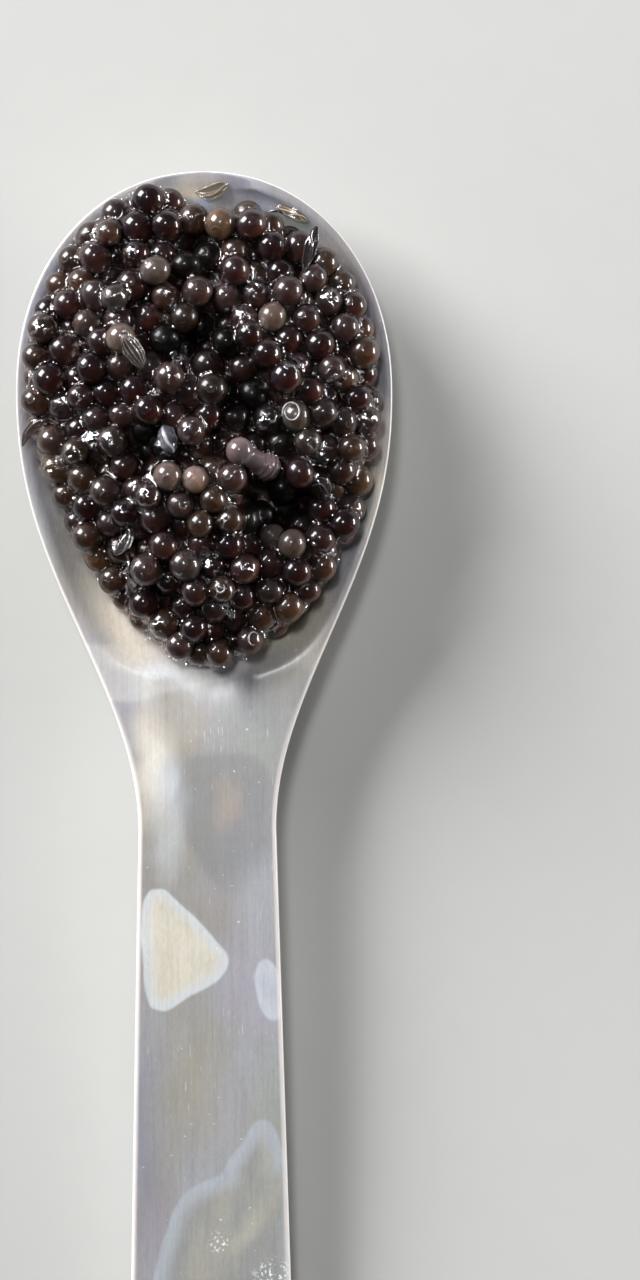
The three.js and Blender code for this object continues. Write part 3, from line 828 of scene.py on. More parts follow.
def shown_share(eggs):
    """The share of directions, from level to straight up, in which nothing lies in front of each egg."""
    to = eggs[None, :, :3] - eggs[:, None, :3]
    squared = (to**2).sum(-1)
    free = np.zeros(len(eggs))
    for rise in LOOK_RISES:
        for turn in range(LOOK_TURNS):
            angle = 2 * math.pi * (turn + rise) / LOOK_TURNS
            level = math.sqrt(1 - rise**2)
            ahead = to @ np.array([level * math.cos(angle), level * math.sin(angle), rise])
            hit = (ahead > 1e-9) & (squared - ahead**2 < (HIDING_SHARE * eggs[None, :, 3]) ** 2)
            free += ~hit.any(1)
    return free / (LOOK_TURNS * len(LOOK_RISES))


eggs = settled(scattered_eggs())
eggs = np.column_stack([eggs, shown_share(eggs)])
eggs = eggs[eggs[:, 4] > HIDDEN]
chance = np.random.default_rng(SEED)
NEAR_ENOUGH = 0.4  # of an egg's radius
FARTHER_COUNTS = 3  # an egg farther off counts as this many times as much lower


def egg_at(x, y):
    """The number of the egg that shows at a place of the heap, in mm: the highest one near it."""
    aside = np.hypot(eggs[:, 0] - x * mm, eggs[:, 1] - y * mm)
    return np.argmax(eggs[:, 2] - FARTHER_COUNTS * np.maximum(0, aside - NEAR_ENOUGH * EGG_RADIUS))


# Two of the eggs are small and still joined in one skin. They lie closer together than they rolled, and a
# little higher.
TWINS = [(3.4, -3.6), (4.7, -5.3)]
TWIN_CLOSENESS = 0.8
TWIN_SIZE = 0.9
TWIN_LIFT = 0.25 * mm
twin_numbers = [egg_at(x, y) for x, y in TWINS]
middle_of_twins = eggs[twin_numbers, :3].mean(0)
eggs[twin_numbers, :3] = middle_of_twins + TWIN_CLOSENESS * (eggs[twin_numbers, :3] - middle_of_twins)
eggs[twin_numbers, 2] += TWIN_LIFT
eggs[twin_numbers, 3] *= TWIN_SIZE


# ---------------------------------------------------------------- brine between the eggs
# Dark brine with broken skins fills the heap under the eggs that show: partly brine, partly painted shade, a
# near black body where the depths of the heap between the eggs are in shade. It climbs between neighbours,
# black and wet, and leaves their tops free. It is one closed body that lies in the bowl.

BRINE_CLIMB = 0.34 * mm
BRINE_SINK = 0.1 * mm
BRINE_SHARE = 0.9
BRINE_STEPS_ACROSS = 151
BRINE_STEPS_ALONG = 210
BRINE_OFF_SHELL = 0.12 * mm
BRINE_LEAST = 0.1 * mm  # thickness
BELOW_STEP = 10  # the hidden underside has one point for so many of the upper side
BESIDE_EGG = 4  # slope at which the top of the heap falls away beside an egg
NOTHING = -60  # exponent below which an egg adds nothing to the height
FIRST_ROW = 0.02  # of a half turn round the heap: how far the rows of points keep from its ends


def heap_top(x, y, softness):
    """Height of the upper side of the eggs, with soft valleys between them."""
    total = np.zeros(x.shape)
    highest = np.full(x.shape, -1.0)
    heights = []
    for egg_x, egg_y, egg_z, radius, _ in eggs:
        squared = (x - egg_x) ** 2 + (y - egg_y) ** 2
        height = egg_z + np.sqrt(np.maximum(0, radius**2 - squared))
        height = height - BESIDE_EGG * np.maximum(0, np.sqrt(squared) - radius)
        heights.append(height)
        highest = np.maximum(highest, height)
    for height in heights:
        total += np.exp(np.maximum(NOTHING, (height - highest) / softness))
    return highest + softness * np.log(total)


def over_the_heap(share, steps_along, steps_across):
    """Points in rows across the heap, out to that share of its footprint."""
    rows = []
    t = np.cos(np.linspace(0, math.pi, steps_across))
    for along in np.cos(np.linspace(FIRST_ROW, math.pi - FIRST_ROW, steps_along)):
        reach = HEAP_TO_TIP if along > 0 else HEAP_TO_HANDLE
        power = HEAP_TIP_ROUNDNESS if along > 0 else HEAP_HANDLE_ROUNDNESS
        half = share * rounded(abs(along), power) * np.where(t < 0, HEAP_LEFT, HEAP_RIGHT)
        x = middle_of_heap(HEAP_CENTRE_Y + share * reach * along) + half * t
        if along > 0:
            reach = reach_to_tip(x)
        rows.append(np.stack([x, np.broadcast_to(HEAP_CENTRE_Y + share * reach * along, x.shape)], 1))
    rows = np.array(rows)
    return rows[..., 0], rows[..., 1]


def body_under(x, y, top, bottom):
    """One closed body under the rows of points of its upper side, with fewer points below."""
    upper = np.stack([x, y, top], -1)
    lower = np.stack([x, y, bottom], -1)[:, ::BELOW_STEP]
    return closed_body(np.concatenate([upper, lower[:, ::-1]], 1))


def brine_mesh():
    x, y = over_the_heap(BRINE_SHARE, BRINE_STEPS_ALONG, BRINE_STEPS_ACROSS)
    bottom = spoon_top(x, y) + BRINE_OFF_SHELL
    top = np.maximum(bottom + BRINE_LEAST, heap_top(x, y, BRINE_CLIMB) - BRINE_SINK)
    return body_under(x, y, top, bottom)


def brine_finish():
    finish = Finish(
        "brine_dark_as_painted_shade", Roughness=0.06, Coat_Weight=1.0, Coat_Roughness=0.03, Specular_IOR_Level=0.5
    )
    place = finish.place()
    # Painted shade: the brine's colour is near black, for the shade deep between the eggs.
    finish.set("Base Color", finish.blend(finish.clouds(place, 500, 3), paint(9, 5, 4), paint(38, 19, 12)))
    finish.set("Normal", finish.relief(finish.clouds(place, 1500, 3, 0.6), 0.25 * mm, 0.8))
    return finish


def roe_piece(name, vertices, faces, finish, **shares):
    """A piece of the heap, which lies in the bowl and goes with it."""
    piece = mesh_piece(name, vertices, faces, finish, **shares)
    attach(piece, "root")
    return piece


brine = roe_piece("brine", *brine_mesh(), brine_finish())
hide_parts("caviar")


# ---------------------------------------------------------------- eggs
# Sturgeon eggs are clear-skinned balls with a dark yolk. Most are nearly black, some brown, taupe or grey,
# and those at the margin are painted amber, for the bright shell behind them that shines through. All are
# wet.
# Their colours hold painted light and shade: a painted glow on each egg's lower right side, and painted shade
# round its sides, deep in the heap and at the bottom of hollows.

# Each kind's body colour, and its "glow": painted light, the colour of the side where light that enters at
# the upper left would gather.
KINDS = {
    "black_eggs": {"share": 0.33, "body": (26, 16, 20), "glow": (56, 25, 18), "clear": 0.0},
    "brown_eggs": {"share": 0.36, "body": (43, 27, 30), "glow": (80, 42, 29), "clear": 0.3},
    "taupe_eggs": {"share": 0.22, "body": (63, 47, 48), "glow": (88, 60, 49), "clear": 0.5},
    "amber_eggs": {"share": 0.09, "body": (74, 53, 43), "glow": (110, 73, 43), "clear": 0.6},
}
MARGIN = 0.86  # eggs farther out than this share of the footprint are likely painted amber, for light from behind
EGG_SWELL = 1.055  # the eggs are pressed together, so each is a little fuller than where it touches
PAINTED_SIDE_SHADE = 0.2  # painted shade: how much of its colour an egg keeps at its sides, where the clear skin is seen edge on
SIDE_STARTS = 0.6  # height at which it begins to darken to its sides, as a share of its radius
SIDE_FULL = 0.05  # and the height from which down it is darkest
PAINTED_GLOW_TOWARDS = (0.66, -0.7, 0.28)  # painted glow: this side is painted lighter, where light that enters at the upper left would gather
PAINTED_GLOW_STARTS = 0.1  # how far over to that side the glow starts, as a share of the egg's radius
PAINTED_GLOW_FULL = 0.9  # and how far over it is full
PALE_BODY = (0.88, 0.85, 0.86)  # the body and the painted glow of the eggs that stand out, times their colour
PALE_PAINTED_GLOW = (1.12, 1.04, 0.94)
PAINTED_DEPTH_SHADE = 0.3  # painted shade: how much of its colour an egg keeps that hardly shows, deep among the others
SHOWS_WELL = 0.5  # eggs that show by more than this share keep all their colour
PAINTED_HOLLOW_SHADE = 0.15  # painted shade: how much of its colour an egg keeps at the bottom of a hollow
PAINTED_HOLLOW_SHEEN = 0.25  # and how much of its sheen, as painted shade on its coat
UNEVENNESS = 0.28  # how much the eggs of a kind differ in brightness, from the darkest to the lightest
PAINTED_AMBER_AT_MARGIN = 0.5  # share of the eggs at the margin painted amber, for the light from the shell behind them
LONGER = 0.04  # an egg is longer one way, and flatter another way, by these shares
FLATTER = 0.05
POLE_UPWARD = 1.2  # how much more often than not the small ring at an egg's pole faces up

# Eggs that stand out by their colour, where the photograph shows them, in mm: x, y, colour.
STANDING_OUT = [
    (0.2, -7.1, (176, 159, 147)),
    (-2.3, -5.3, (134, 121, 114)),
    (5.9, 7.2, (125, 111, 102)),
    (-3.3, 11.2, (114, 106, 100)),
    (-5.9, 4.3, (134, 120, 111)),
    (7.3, -0.5, (107, 100, 95)),
    (0.2, 15.0, (121, 100, 77)),
    (5.0, -11.7, (99, 90, 90)),
    (7.8, -12.2, (104, 93, 88)),
    (13.9, -6.6, (106, 84, 60)),
    (-13.5, -6.6, (100, 81, 58)),
    (-9.3, -13.6, (118, 90, 60)),
    (3.1, 17.6, (90, 76, 63)),
    (-10.6, 7.6, (92, 79, 72)),
    (-13.1, -2.4, (86, 69, 60)),
    (-2.7, -14.1, (74, 65, 63)),
    (9.0, -3.9, (72, 60, 53)),
    (12.3, 9.8, (86, 69, 56)),
    (-8.1, 9.8, (77, 69, 67)),
]


def round_ball(subdivisions):
    """The points and faces of a ball of radius 1."""
    sphere = bmesh.new()
    bmesh.ops.create_icosphere(sphere, subdivisions=subdivisions, radius=1)
    points = np.array([v.co[:] for v in sphere.verts])
    faces = np.array([[v.index for v in f.verts] for f in sphere.faces])
    sphere.free()
    return points, faces


FINE_BALL = round_ball(4)
PLAIN_BALL = round_ball(3)
FINE_FROM = 0.25  # eggs that show by no more than this share are plain


def egg_finish(name, clear):
    finish = Finish(
        name,
        Subsurface_Weight=0.8,
        Subsurface_Radius=(1.0, 0.5, 0.4),
        Subsurface_Scale=1.2 * mm,
        Transmission_Weight=clear,
        IOR=1.38,
        Coat_Roughness=0.015,
        Coat_IOR=1.45,
        Specular_IOR_Level=0.12,
    )
    place = finish.place()
    # For the eggs, the "skin" colour holds painted light and shade: a glow on one side, darker sides, hollows
    # and hidden eggs.
    skin = finish.node("ShaderNodeAttribute", {"attribute_name": "skin"}, {}, "Color")
    mottle = finish.clouds(place, 900, 3)
    yolk = finish.step(mottle, 0.35, 0.7)
    finish.set("Base Color", finish.tint(yolk * 0.6, skin, paint(188, 174, 170)))
    finish.set("Roughness", 0.3 + 0.2 * mottle)
    pole = finish.share("pole")
    ring = finish.step(pole, 0.9, 0.93) - finish.step(pole, 0.95, 0.975)
    dimpled = finish.relief(finish.clouds(place, 1300, 2), 0.08 * mm, 0.6)
    finish.set("Normal", finish.relief(ring, 0.05 * mm, 0.7, dimpled))
    # Painted shade on the coat: its sheen is weaker at the bottom of hollows.
    finish.set("Coat Weight", finish.share("daylight"))
    return finish


def egg_colours():
    """The kind of each egg, and the colours of its body and of its painted glow, with painted shade in them.
    """
    names = list(KINDS)
    shares = np.array([KINDS[name]["share"] for name in names])
    kinds = chance.choice(len(names), len(eggs), p=shares)
    # Eggs at the margin are painted amber, for the bright shell behind them that shines through.
    at_margin = outward(eggs[:, 0], eggs[:, 1]) > MARGIN
    kinds[at_margin & (chance.random(len(eggs)) < PAINTED_AMBER_AT_MARGIN)] = names.index("amber_eggs")
    bodies = np.array([KINDS[names[k]]["body"] for k in kinds], float)
    painted_glows = np.array([KINDS[names[k]]["glow"] for k in kinds], float)
    shade = 1 + UNEVENNESS * (chance.random((len(eggs), 1)) - 0.5)
    # painted shade: eggs that hardly show are painted darker
    shade *= PAINTED_DEPTH_SHADE + (1 - PAINTED_DEPTH_SHADE) * smooth(eggs[:, 4:], 0, SHOWS_WELL)
    # painted shade: eggs at the bottom of a hollow are painted darker
    shade *= PAINTED_HOLLOW_SHADE + (1 - PAINTED_HOLLOW_SHADE) * daylight(eggs[:, 0], eggs[:, 1])[:, None]
    bodies *= shade
    painted_glows *= shade
    for x, y, colour in STANDING_OUT:
        found = egg_at(x, y)
        bodies[found] = np.array(colour) * PALE_BODY
        painted_glows[found] = np.array(colour) * PALE_PAINTED_GLOW
        kinds[found] = names.index("taupe_eggs")
    return kinds, bodies, painted_glows


def egg_skin_with_painted_light_and_shade(ball, body, glow):
    """The colour of each point of an egg: a painted glow on one side, and painted shade round its sides."""
    body, glow = np.array(paint(*body)), np.array(paint(*glow))
    skin = body + (glow - body) * smooth(ball @ np.array(PAINTED_GLOW_TOWARDS), PAINTED_GLOW_STARTS, PAINTED_GLOW_FULL)[:, None]
    skin[:, :3] *= PAINTED_SIDE_SHADE + (1 - PAINTED_SIDE_SHADE) * smooth(ball[:, 2:], SIDE_FULL, SIDE_STARTS)
    return skin


egg_kinds, egg_bodies, egg_painted_glows = egg_colours()
for kind, (name, look) in enumerate(KINDS.items()):
    vertices, faces, skins, poles, lights = [], [], [], [], []
    for egg in np.flatnonzero(egg_kinds == kind):
        if egg in twin_numbers:
            continue
        x, y, z, radius, shown = eggs[egg]
        ball, ball_faces = FINE_BALL if shown > FINE_FROM else PLAIN_BALL
        axes = chance.normal(size=(3, 3))
        axes /= np.linalg.norm(axes, axis=1, keepdims=True)
        bulges = EGG_SWELL * (1 + LONGER * (ball @ axes[0]) ** 2 - FLATTER * (ball @ axes[1]) ** 2)
        faces.append(ball_faces + sum(map(len, vertices)))
        vertices.append(ball * (bulges * radius)[:, None] + (x, y, z))
        skins.append(egg_skin_with_painted_light_and_shade(ball, egg_bodies[egg], egg_painted_glows[egg]))
        upward = axes[2] + (0, 0, POLE_UPWARD)
        poles.append(ball @ (upward / np.linalg.norm(upward)))
        # painted shade on the coat, from how far down a hollow the egg lies
        lights.append(np.full(len(ball), PAINTED_HOLLOW_SHEEN + (1 - PAINTED_HOLLOW_SHEEN) * daylight(x, y)))
    skin, pole, light = np.concatenate(skins), np.concatenate(poles), np.concatenate(lights)
    vertices, faces = np.concatenate(vertices), np.concatenate(faces)
    roe_piece(name, vertices, faces, egg_finish(name, look["clear"]), skin=skin, pole=pole, daylight=light)


# ---------------------------------------------------------------- wet film
# The whole heap is wet. A clear film of brine and skins bridges the eggs, draws up round each of them, and
# lies in small wrinkles, which mirror the lights as bright squiggles. It mirrors a little and lets the rest
# through.

FILM_CLIMB = 0.4 * mm
FILM_SHARE = 0.985
FILM_STEPS_ACROSS = 221
FILM_STEPS_ALONG = 300
SQUIGGLE_HEIGHT = 0.1 * mm
CLEAR = 0.05  # how much the flat film mirrors
MILKY = 0.5  # and how much more its wrinkles do
FILM_OFF_SHELL = 0.08 * mm
FILM_LEAST = 0.04 * mm  # thickness
FILM_FAINT = 0.2 * mm  # up to this thickness it can't be seen, and from the next on it is all there
FILM_FULL = 1 * mm
FILM_IN_HOLLOW = 0.15  # how much of it shows at the bottom of a hollow, as painted shade on its mirror


def wrinkles(finish, place, scale, share, width):
    """Thin wandering beads, 0 to 1, scale to the metre, in patches over that share of the surface."""
    patches = finish.step(finish.clouds(place, 260, 2), 0.62 - share, 0.7 - share)
    beads = abs(finish.clouds(finish.stretched(place, 1.3, 0.8, 1.0), scale, 1) - 0.5)
    return patches * finish.step(beads, width, 0.0, "LINEAR")


def film_finish():
    finish = Finish("clear_film", Metallic=1.0)
    place = finish.place()
    sheen = finish.clouds(place, 600, 1)
    finish.set("Base Color", finish.blend(sheen, paint(232, 228, 240), paint(255, 238, 228)))
    large = wrinkles(finish, place, 640, 0.26, 0.07)
    small = wrinkles(finish, finish.stretched(place, -1, 1, 1), 1150, 0.22, 0.09)
    wrinkled = large.math("MAXIMUM", large, small)
    waves = finish.relief(finish.clouds(place, 900, 1), 0.1 * mm, 0.6)
    finish.set("Normal", finish.relief(wrinkled, SQUIGGLE_HEIGHT, 1.0, waves))
    finish.set("Roughness", 0.02 + 0.13 * wrinkled)
    # The film mirrors less at the bottom of hollows, as painted shade, and where it is thin.
    finish.set("Alpha", (CLEAR + MILKY * wrinkled) * finish.share("daylight"))
    return finish


def film_mesh():
    """The film, and how much of it shows at each point."""
    x, y = over_the_heap(FILM_SHARE, FILM_STEPS_ALONG, FILM_STEPS_ACROSS)
    bottom = spoon_top(x, y) + FILM_OFF_SHELL
    top = np.maximum(bottom + FILM_LEAST, heap_top(x, y, FILM_CLIMB))
    shows = FILM_IN_HOLLOW + (1 - FILM_IN_HOLLOW) * daylight(x, y)
    shows = shows * smooth(top - bottom, FILM_FAINT, FILM_FULL)
    return *body_under(x, y, top, bottom), np.concatenate([shows, shows[:, ::BELOW_STEP][:, ::-1]], 1).ravel()


vertices, faces, shows = film_mesh()
roe_piece("wet_film", vertices, faces, film_finish(), daylight=shows)


# ---------------------------------------------------------------- skins over the eggs
# Burst eggs leave clear wet skins, which cling to the heap in wrinkled rags a few millimetres across. Each
# is a thin closed film that lies over the eggs below it, with folds that catch the light.

SKINS = 46
SKIN_LEAST = 0.8 * mm
SKIN_MOST = 1.9 * mm
SKIN_THICKNESS = 0.06 * mm
SKIN_LIFT = 0.1 * mm
SKIN_TUCK = 1.6  # how far its rim is tucked in below that, times the lift
SKIN_HANGS = 0.39 * mm  # how far below its middle a skin can hang anywhere
SKIN_HANGS_MORE = 1.3 * mm  # and how much farther it can at its rim
SKIN_SMALLNESS = 1.5  # the higher this power, the more of the skins are small
SKIN_CLIMB = 0.3 * mm  # how softly it bridges the valleys between the eggs
SKIN_SHOWS = 0.3  # it lies on an egg that shows by more than this share
SKIN_NARROWEST = 0.5  # its width is from this share of its length
SKIN_WIDEST = 0.9  # to this one
SKIN_LOBES = 0.22  # how far its outline swells twice round it, as a share of its size
SKIN_RAGS = 0.14  # and five times
SKIN_RINGS = 20
SKIN_TURNS = 46
FOLD_HEIGHT = 0.15 * mm
FOLD_LENGTH = 0.7 * mm
FOLD_WANDER = 1.9  # how far the folds stray to and fro, in radians of a fold
FOLD_TREMBLE = 0.8  # and how far in shorter bends
FOLD_MEAN = 0.6  # mean height along a fold, as a share of the most

# Rags that the photograph shows plainly, in mm: x, y.
RAGS = [
    (-8.4, 8.0), (-6.9, 8.6), (-2.6, 8.9), (-8.2, 9.6), (-5.8, 5.6), (1.6, 10.4), (3.8, 13.6), (-8.3, -3.0),
    (-11.2, -4.4), (-7.0, -11.6), (-6.2, -14.0), (1.2, -10.4), (-0.2, -12.8), (1.9, -16.4), (-3.8, -18.8),
    (7.6, 3.4), (10.8, 2.0), (9.2, -3.6), (4.6, 9.6), (-9.4, 14.2), (-2.2, 13.6), (11.6, 9.4),
]


def folds(x, y, angle, phase):
    """Height of the folds, 0 to 1: sharp wandering ridges that run roughly one way."""
    waves = 2 * math.pi / FOLD_LENGTH
    along = waves * (x * math.cos(angle) + y * math.sin(angle))
    over = waves * (y * math.cos(angle) - x * math.sin(angle))
    bent = over + FOLD_WANDER * np.sin(0.45 * along + phase) + FOLD_TREMBLE * np.sin(1.3 * along - phase)
    ridge = 1 - np.abs(np.sin(bent / 2))
    return ridge * (FOLD_MEAN + (1 - FOLD_MEAN) * np.sin(0.6 * along + 0.3 * bent + 2 * phase))


def skin_places():
    """The middles of the skins: those that the photograph shows, and others on eggs taken by chance."""
    places = [(x * mm, y * mm) for x, y in RAGS]
    shown = eggs[eggs[:, 4] > SKIN_SHOWS]
    others = shown[chance.choice(len(shown), SKINS - len(RAGS), replace=False)]
    return places + [(egg[0], egg[1]) for egg in others]


def skin_rag(x, y):
    """The points of a skin's upper side, ring by ring and its middle last, and how far up a fold each is."""
    rings = np.linspace(1 / SKIN_RINGS, 1, SKIN_RINGS)[:, None]
    turns = np.arange(SKIN_TURNS)[None, :] * 2 * math.pi / SKIN_TURNS
    size = SKIN_LEAST + (SKIN_MOST - SKIN_LEAST) * chance.random() ** SKIN_SMALLNESS
    angle, phase, lobed = chance.random(3) * 2 * math.pi
    narrow = SKIN_NARROWEST + (SKIN_WIDEST - SKIN_NARROWEST) * chance.random()
    outline = 1 + SKIN_LOBES * np.sin(2 * turns + lobed) + SKIN_RAGS * np.sin(5 * turns + phase)
    along = size * rings * outline * np.cos(turns)
    over = narrow * size * rings * outline * np.sin(turns)
    px = np.append(x + along * math.cos(angle) - over * math.sin(angle), x)
    py = np.append(y + along * math.sin(angle) + over * math.cos(angle), y)
    share = np.append(np.broadcast_to(rings, along.shape), 0)
    base = heap_top(px, py, SKIN_CLIMB)
    base = np.maximum(base, base[-1] - SKIN_HANGS - SKIN_HANGS_MORE * share)
    creased = folds(px, py, angle, phase)
    z = base + SKIN_LIFT * (1 - SKIN_TUCK * share**4) + FOLD_HEIGHT * creased
    return np.stack([px, py, z], -1), creased


def skins_mesh():
    """All the skins, each closed by a lower side that shares the rim of the upper one."""
    inner = (SKIN_RINGS - 1) * SKIN_TURNS
    grid = np.arange(SKIN_RINGS * SKIN_TURNS).reshape(SKIN_RINGS, SKIN_TURNS)
    after = np.roll(grid, -1, axis=1)
    middle = np.full(SKIN_TURNS, grid.size)
    quads = np.stack([grid[:-1], grid[1:], after[1:], after[:-1]], -1).reshape(-1, 4)
    fan = np.stack([middle, grid[0], after[0]], -1)
    below = np.concatenate([np.arange(inner) + grid.size + 1, grid[-1], [grid.size + 1 + inner]])
    sides = [face.tolist() for face in (*quads, *fan, *below[quads][:, ::-1], *below[fan][:, ::-1])]
    vertices, faces, heights = [], [], []
    for x, y in skin_places():
        upper, creased = skin_rag(x, y)
        lower = np.delete(upper, grid[-1], 0) - (0, 0, SKIN_THICKNESS)
        first = sum(map(len, vertices))
        faces.extend([first + point for point in face] for face in sides)
        vertices.extend([upper, lower])
        heights.extend([creased, np.delete(creased, grid[-1])])
    return np.concatenate(vertices), faces, np.concatenate(heights)


def skin_finish():
    finish = Finish("clear_skin")
    crest = finish.step(finish.share("fold"), 0.35, 0.8)
    finish.set("Base Color", finish.blend(crest, paint(250, 250, 255), paint(150, 144, 150)))
    finish.set("Metallic", 1 - 0.5 * crest)
    finish.set("Roughness", 0.04 + 0.3 * crest)
    finish.set("Alpha", 0.09 + 0.26 * crest)
    finish.set("Normal", finish.relief(finish.clouds(finish.place(), 2200, 2, 0.6), 0.03 * mm, 0.5))
    return finish


vertices, faces, heights = skins_mesh()
roe_piece("burst_skins", vertices, faces, skin_finish(), fold=heights)


# ---------------------------------------------------------------- shreds and flakes
# Bits of torn skin stand out of the heap, or stuck to the rim when the spoon was filled. Each is a
# flattened strand with lengthwise ridges, milky along them and else clear. One is the wrinkled tail of a
# pale egg.

STRAND_STEPS = 44
STRAND_SIDES = 60
STRAND_TIP = 0.04  # its ends are closed at this share of its width
RIDGES_WANDER = 0.7  # how far its ridges turn round it to and fro, in radians
RIDGES_TREMBLE = 0.2
RAGGED = 0.06  # how uneven its width is, as a share
VALLEY_SHADE = 0.55  # how much of its colour a shred keeps between its ridges
UNDER_SHRED = 0.3 * mm  # how softly the heap under a shred bridges the valleys between the eggs
UNDER_TAIL = 0.1 * mm  # and under the tail, which follows them closely
DEEPEST_UNDER_SHRED = 0.8 * mm  # a shred bridges deeper valleys than this

# In mm: the spine's points, with their heights over what is below, and half the width and height along it.
# "depth" is that of the ridges, as a share of the strand's size, and "clear" how clear it is between them.
SHREDS = {
    "milky_capsule": {
        "spine": [(-3.2, -1.9, 0.1), (-3.1, -2.6, 0.5), (-2.8, -3.4, 0.5), (-2.6, -4.2, 0.0)],
        "width": [0.7, 0.8, 0.75, 0.6], "height": [0.6, 0.7, 0.6, 0.5], "ridges": 4, "depth": 0.06,
        "colour": (178, 176, 188), "clear": 0.3,
    },
    "standing_shred": {
        "spine": [(8.5, 11.0, 0.3), (9.0, 12.4, 1.3), (9.2, 13.6, 1.5), (9.7, 14.9, 1.2)],
        "width": [0.3, 0.45, 0.55, 0.35], "height": [0.25, 0.25, 0.3, 0.2], "ridges": 4, "depth": 0.2,
        "colour": (58, 50, 52), "clear": 0.3,
    },
    "rim_shred": {
        "spine": [(-13.2, -1.2, 0.4), (-14.2, -1.6, 0.7), (-15.1, -2.2, 0.3), (-15.4, -3.4, 0.0)],
        "width": [0.5, 0.6, 0.4, 0.2], "height": [0.2, 0.16, 0.14, 0.08], "ridges": 5, "depth": 0.2,
        "colour": (92, 76, 72), "clear": 0.5,
    },
    "left_flap": {
        "spine": [(-6.4, -10.4, 0.2), (-6.0, -11.2, 0.7), (-6.7, -12.2, 0.8), (-7.6, -12.6, 0.3)],
        "width": [0.4, 0.55, 0.5, 0.3], "height": [0.2, 0.16, 0.14, 0.1], "ridges": 3, "depth": 0.2,
        "colour": (110, 104, 106), "clear": 0.5,
    },
    "right_flap": {
        "spine": [(9.2, -7.0, 0.1), (10.0, -6.2, 0.6), (10.6, -7.2, 0.6), (10.2, -8.2, 0.1)],
        "width": [0.35, 0.5, 0.45, 0.3], "height": [0.2, 0.18, 0.14, 0.1], "ridges": 4, "depth": 0.2,
        "colour": (96, 92, 96), "clear": 0.5,
    },
}

# The tail's spine starts from the middle of the egg near this place.
TAILED_EGG = (-5.9, 4.3)
PALE_TAIL = {
    "spine": [(0.2, 0.1, 0.1), (1.0, -0.8, 0.7), (1.5, -1.8, 0.5), (2.2, -3.0, -0.2)],
    "width": [0.6, 1.0, 0.7, 0.1], "height": [0.5, 0.45, 0.35, 0.1], "ridges": 13, "depth": 0.14,
    "colour": (176, 164, 160), "clear": 0.4,
}

# Thin shreds that lie in a ring or a hook on one egg, near white: partly skin, partly painted highlight, for
# the bright arcs that the wet film shows round an egg. In mm: the place of the egg, how far beside its middle
# the ring lies, and its half width and half length. In degrees: where it starts.
RINGS = {
    "clear_ring": {
        "egg": (7.3, -0.5), "aside": (-0.36, 0.32), "half": (0.76, 0.88), "start": 215, "turns": -1.25,
    },
    "curl_near_handle": {
        "egg": (3.7, -20.1), "aside": (0.3, 0.1), "half": (0.45, 0.63), "start": 20, "turns": 0.75,
    },
    "hook_near_handle": {
        "egg": (2.4, -16.6), "aside": (-0.1, 0.2), "half": (0.38, 0.5), "start": 150, "turns": 0.67,
    },
    "curl_near_tip": {
        "egg": (-7.2, 16.8), "aside": (0.0, 0.0), "half": (0.65, 0.65), "start": 20, "turns": -0.5,
    },
}
RING_LIES_AT = 1.1  # times the egg's radius, from its middle
RING_CLOSES_IN = 0.24  # by this share of its size in each turn
# Near white and nearly opaque: a painted highlight as much as a shred.
RING_AND_PAINTED_ARC_LOOK = {
    "width": [0.045, 0.08, 0.08, 0.045], "height": [0.045, 0.075, 0.075, 0.045], "ridges": 2, "depth": 0.1,
    "colour": (236, 234, 232), "clear": 0.1,
}

# Flakes that stuck to the bare shell.
FLAKES = {
    "tip_flake": {
        "spine": [(-0.7, 18.3, 0.14), (0.3, 18.0, 0.24), (1.4, 18.6, 0.24), (2.2, 18.9, 0.12)],
        "width": [0.25, 0.75, 0.7, 0.2], "height": [0.04, 0.06, 0.06, 0.04], "ridges": 5, "depth": 0.3,
        "colour": (150, 134, 116), "clear": 0.75,
    },
    "rim_flake": {
        "spine": [(6.2, 16.9, 0.1), (7.2, 16.9, 0.22), (8.2, 16.2, 0.22), (9.0, 15.6, 0.1)],
        "width": [0.2, 0.5, 0.5, 0.2], "height": [0.04, 0.06, 0.06, 0.04], "ridges": 4, "depth": 0.3,
        "colour": (160, 142, 122), "clear": 0.75,
    },
    "thin_curl": {
        "spine": [(5.0, 16.2, 0.2), (6.0, 16.9, 0.5), (6.8, 16.5, 0.4), (7.4, 16.1, 0.1)],
        "width": [0.08, 0.13, 0.13, 0.06], "height": [0.08, 0.1, 0.1, 0.05], "ridges": 2, "depth": 0.1,
        "colour": (52, 42, 42), "clear": 0.2,
    },
}


# Shares of a strand's length, closer together at its ends.
ALONG_STRAND = 0.5 - 0.5 * np.cos(np.linspace(0, math.pi, STRAND_STEPS))


def curve(points):
    """A smooth curve from the first point to the last, towards those between."""
    last = len(points) - 1
    weights = [
        math.comb(last, k) * ALONG_STRAND**k * (1 - ALONG_STRAND) ** (last - k) for k in range(last + 1)
    ]
    return sum(np.multiply.outer(weight, point) for weight, point in zip(weights, np.array(points, float)))


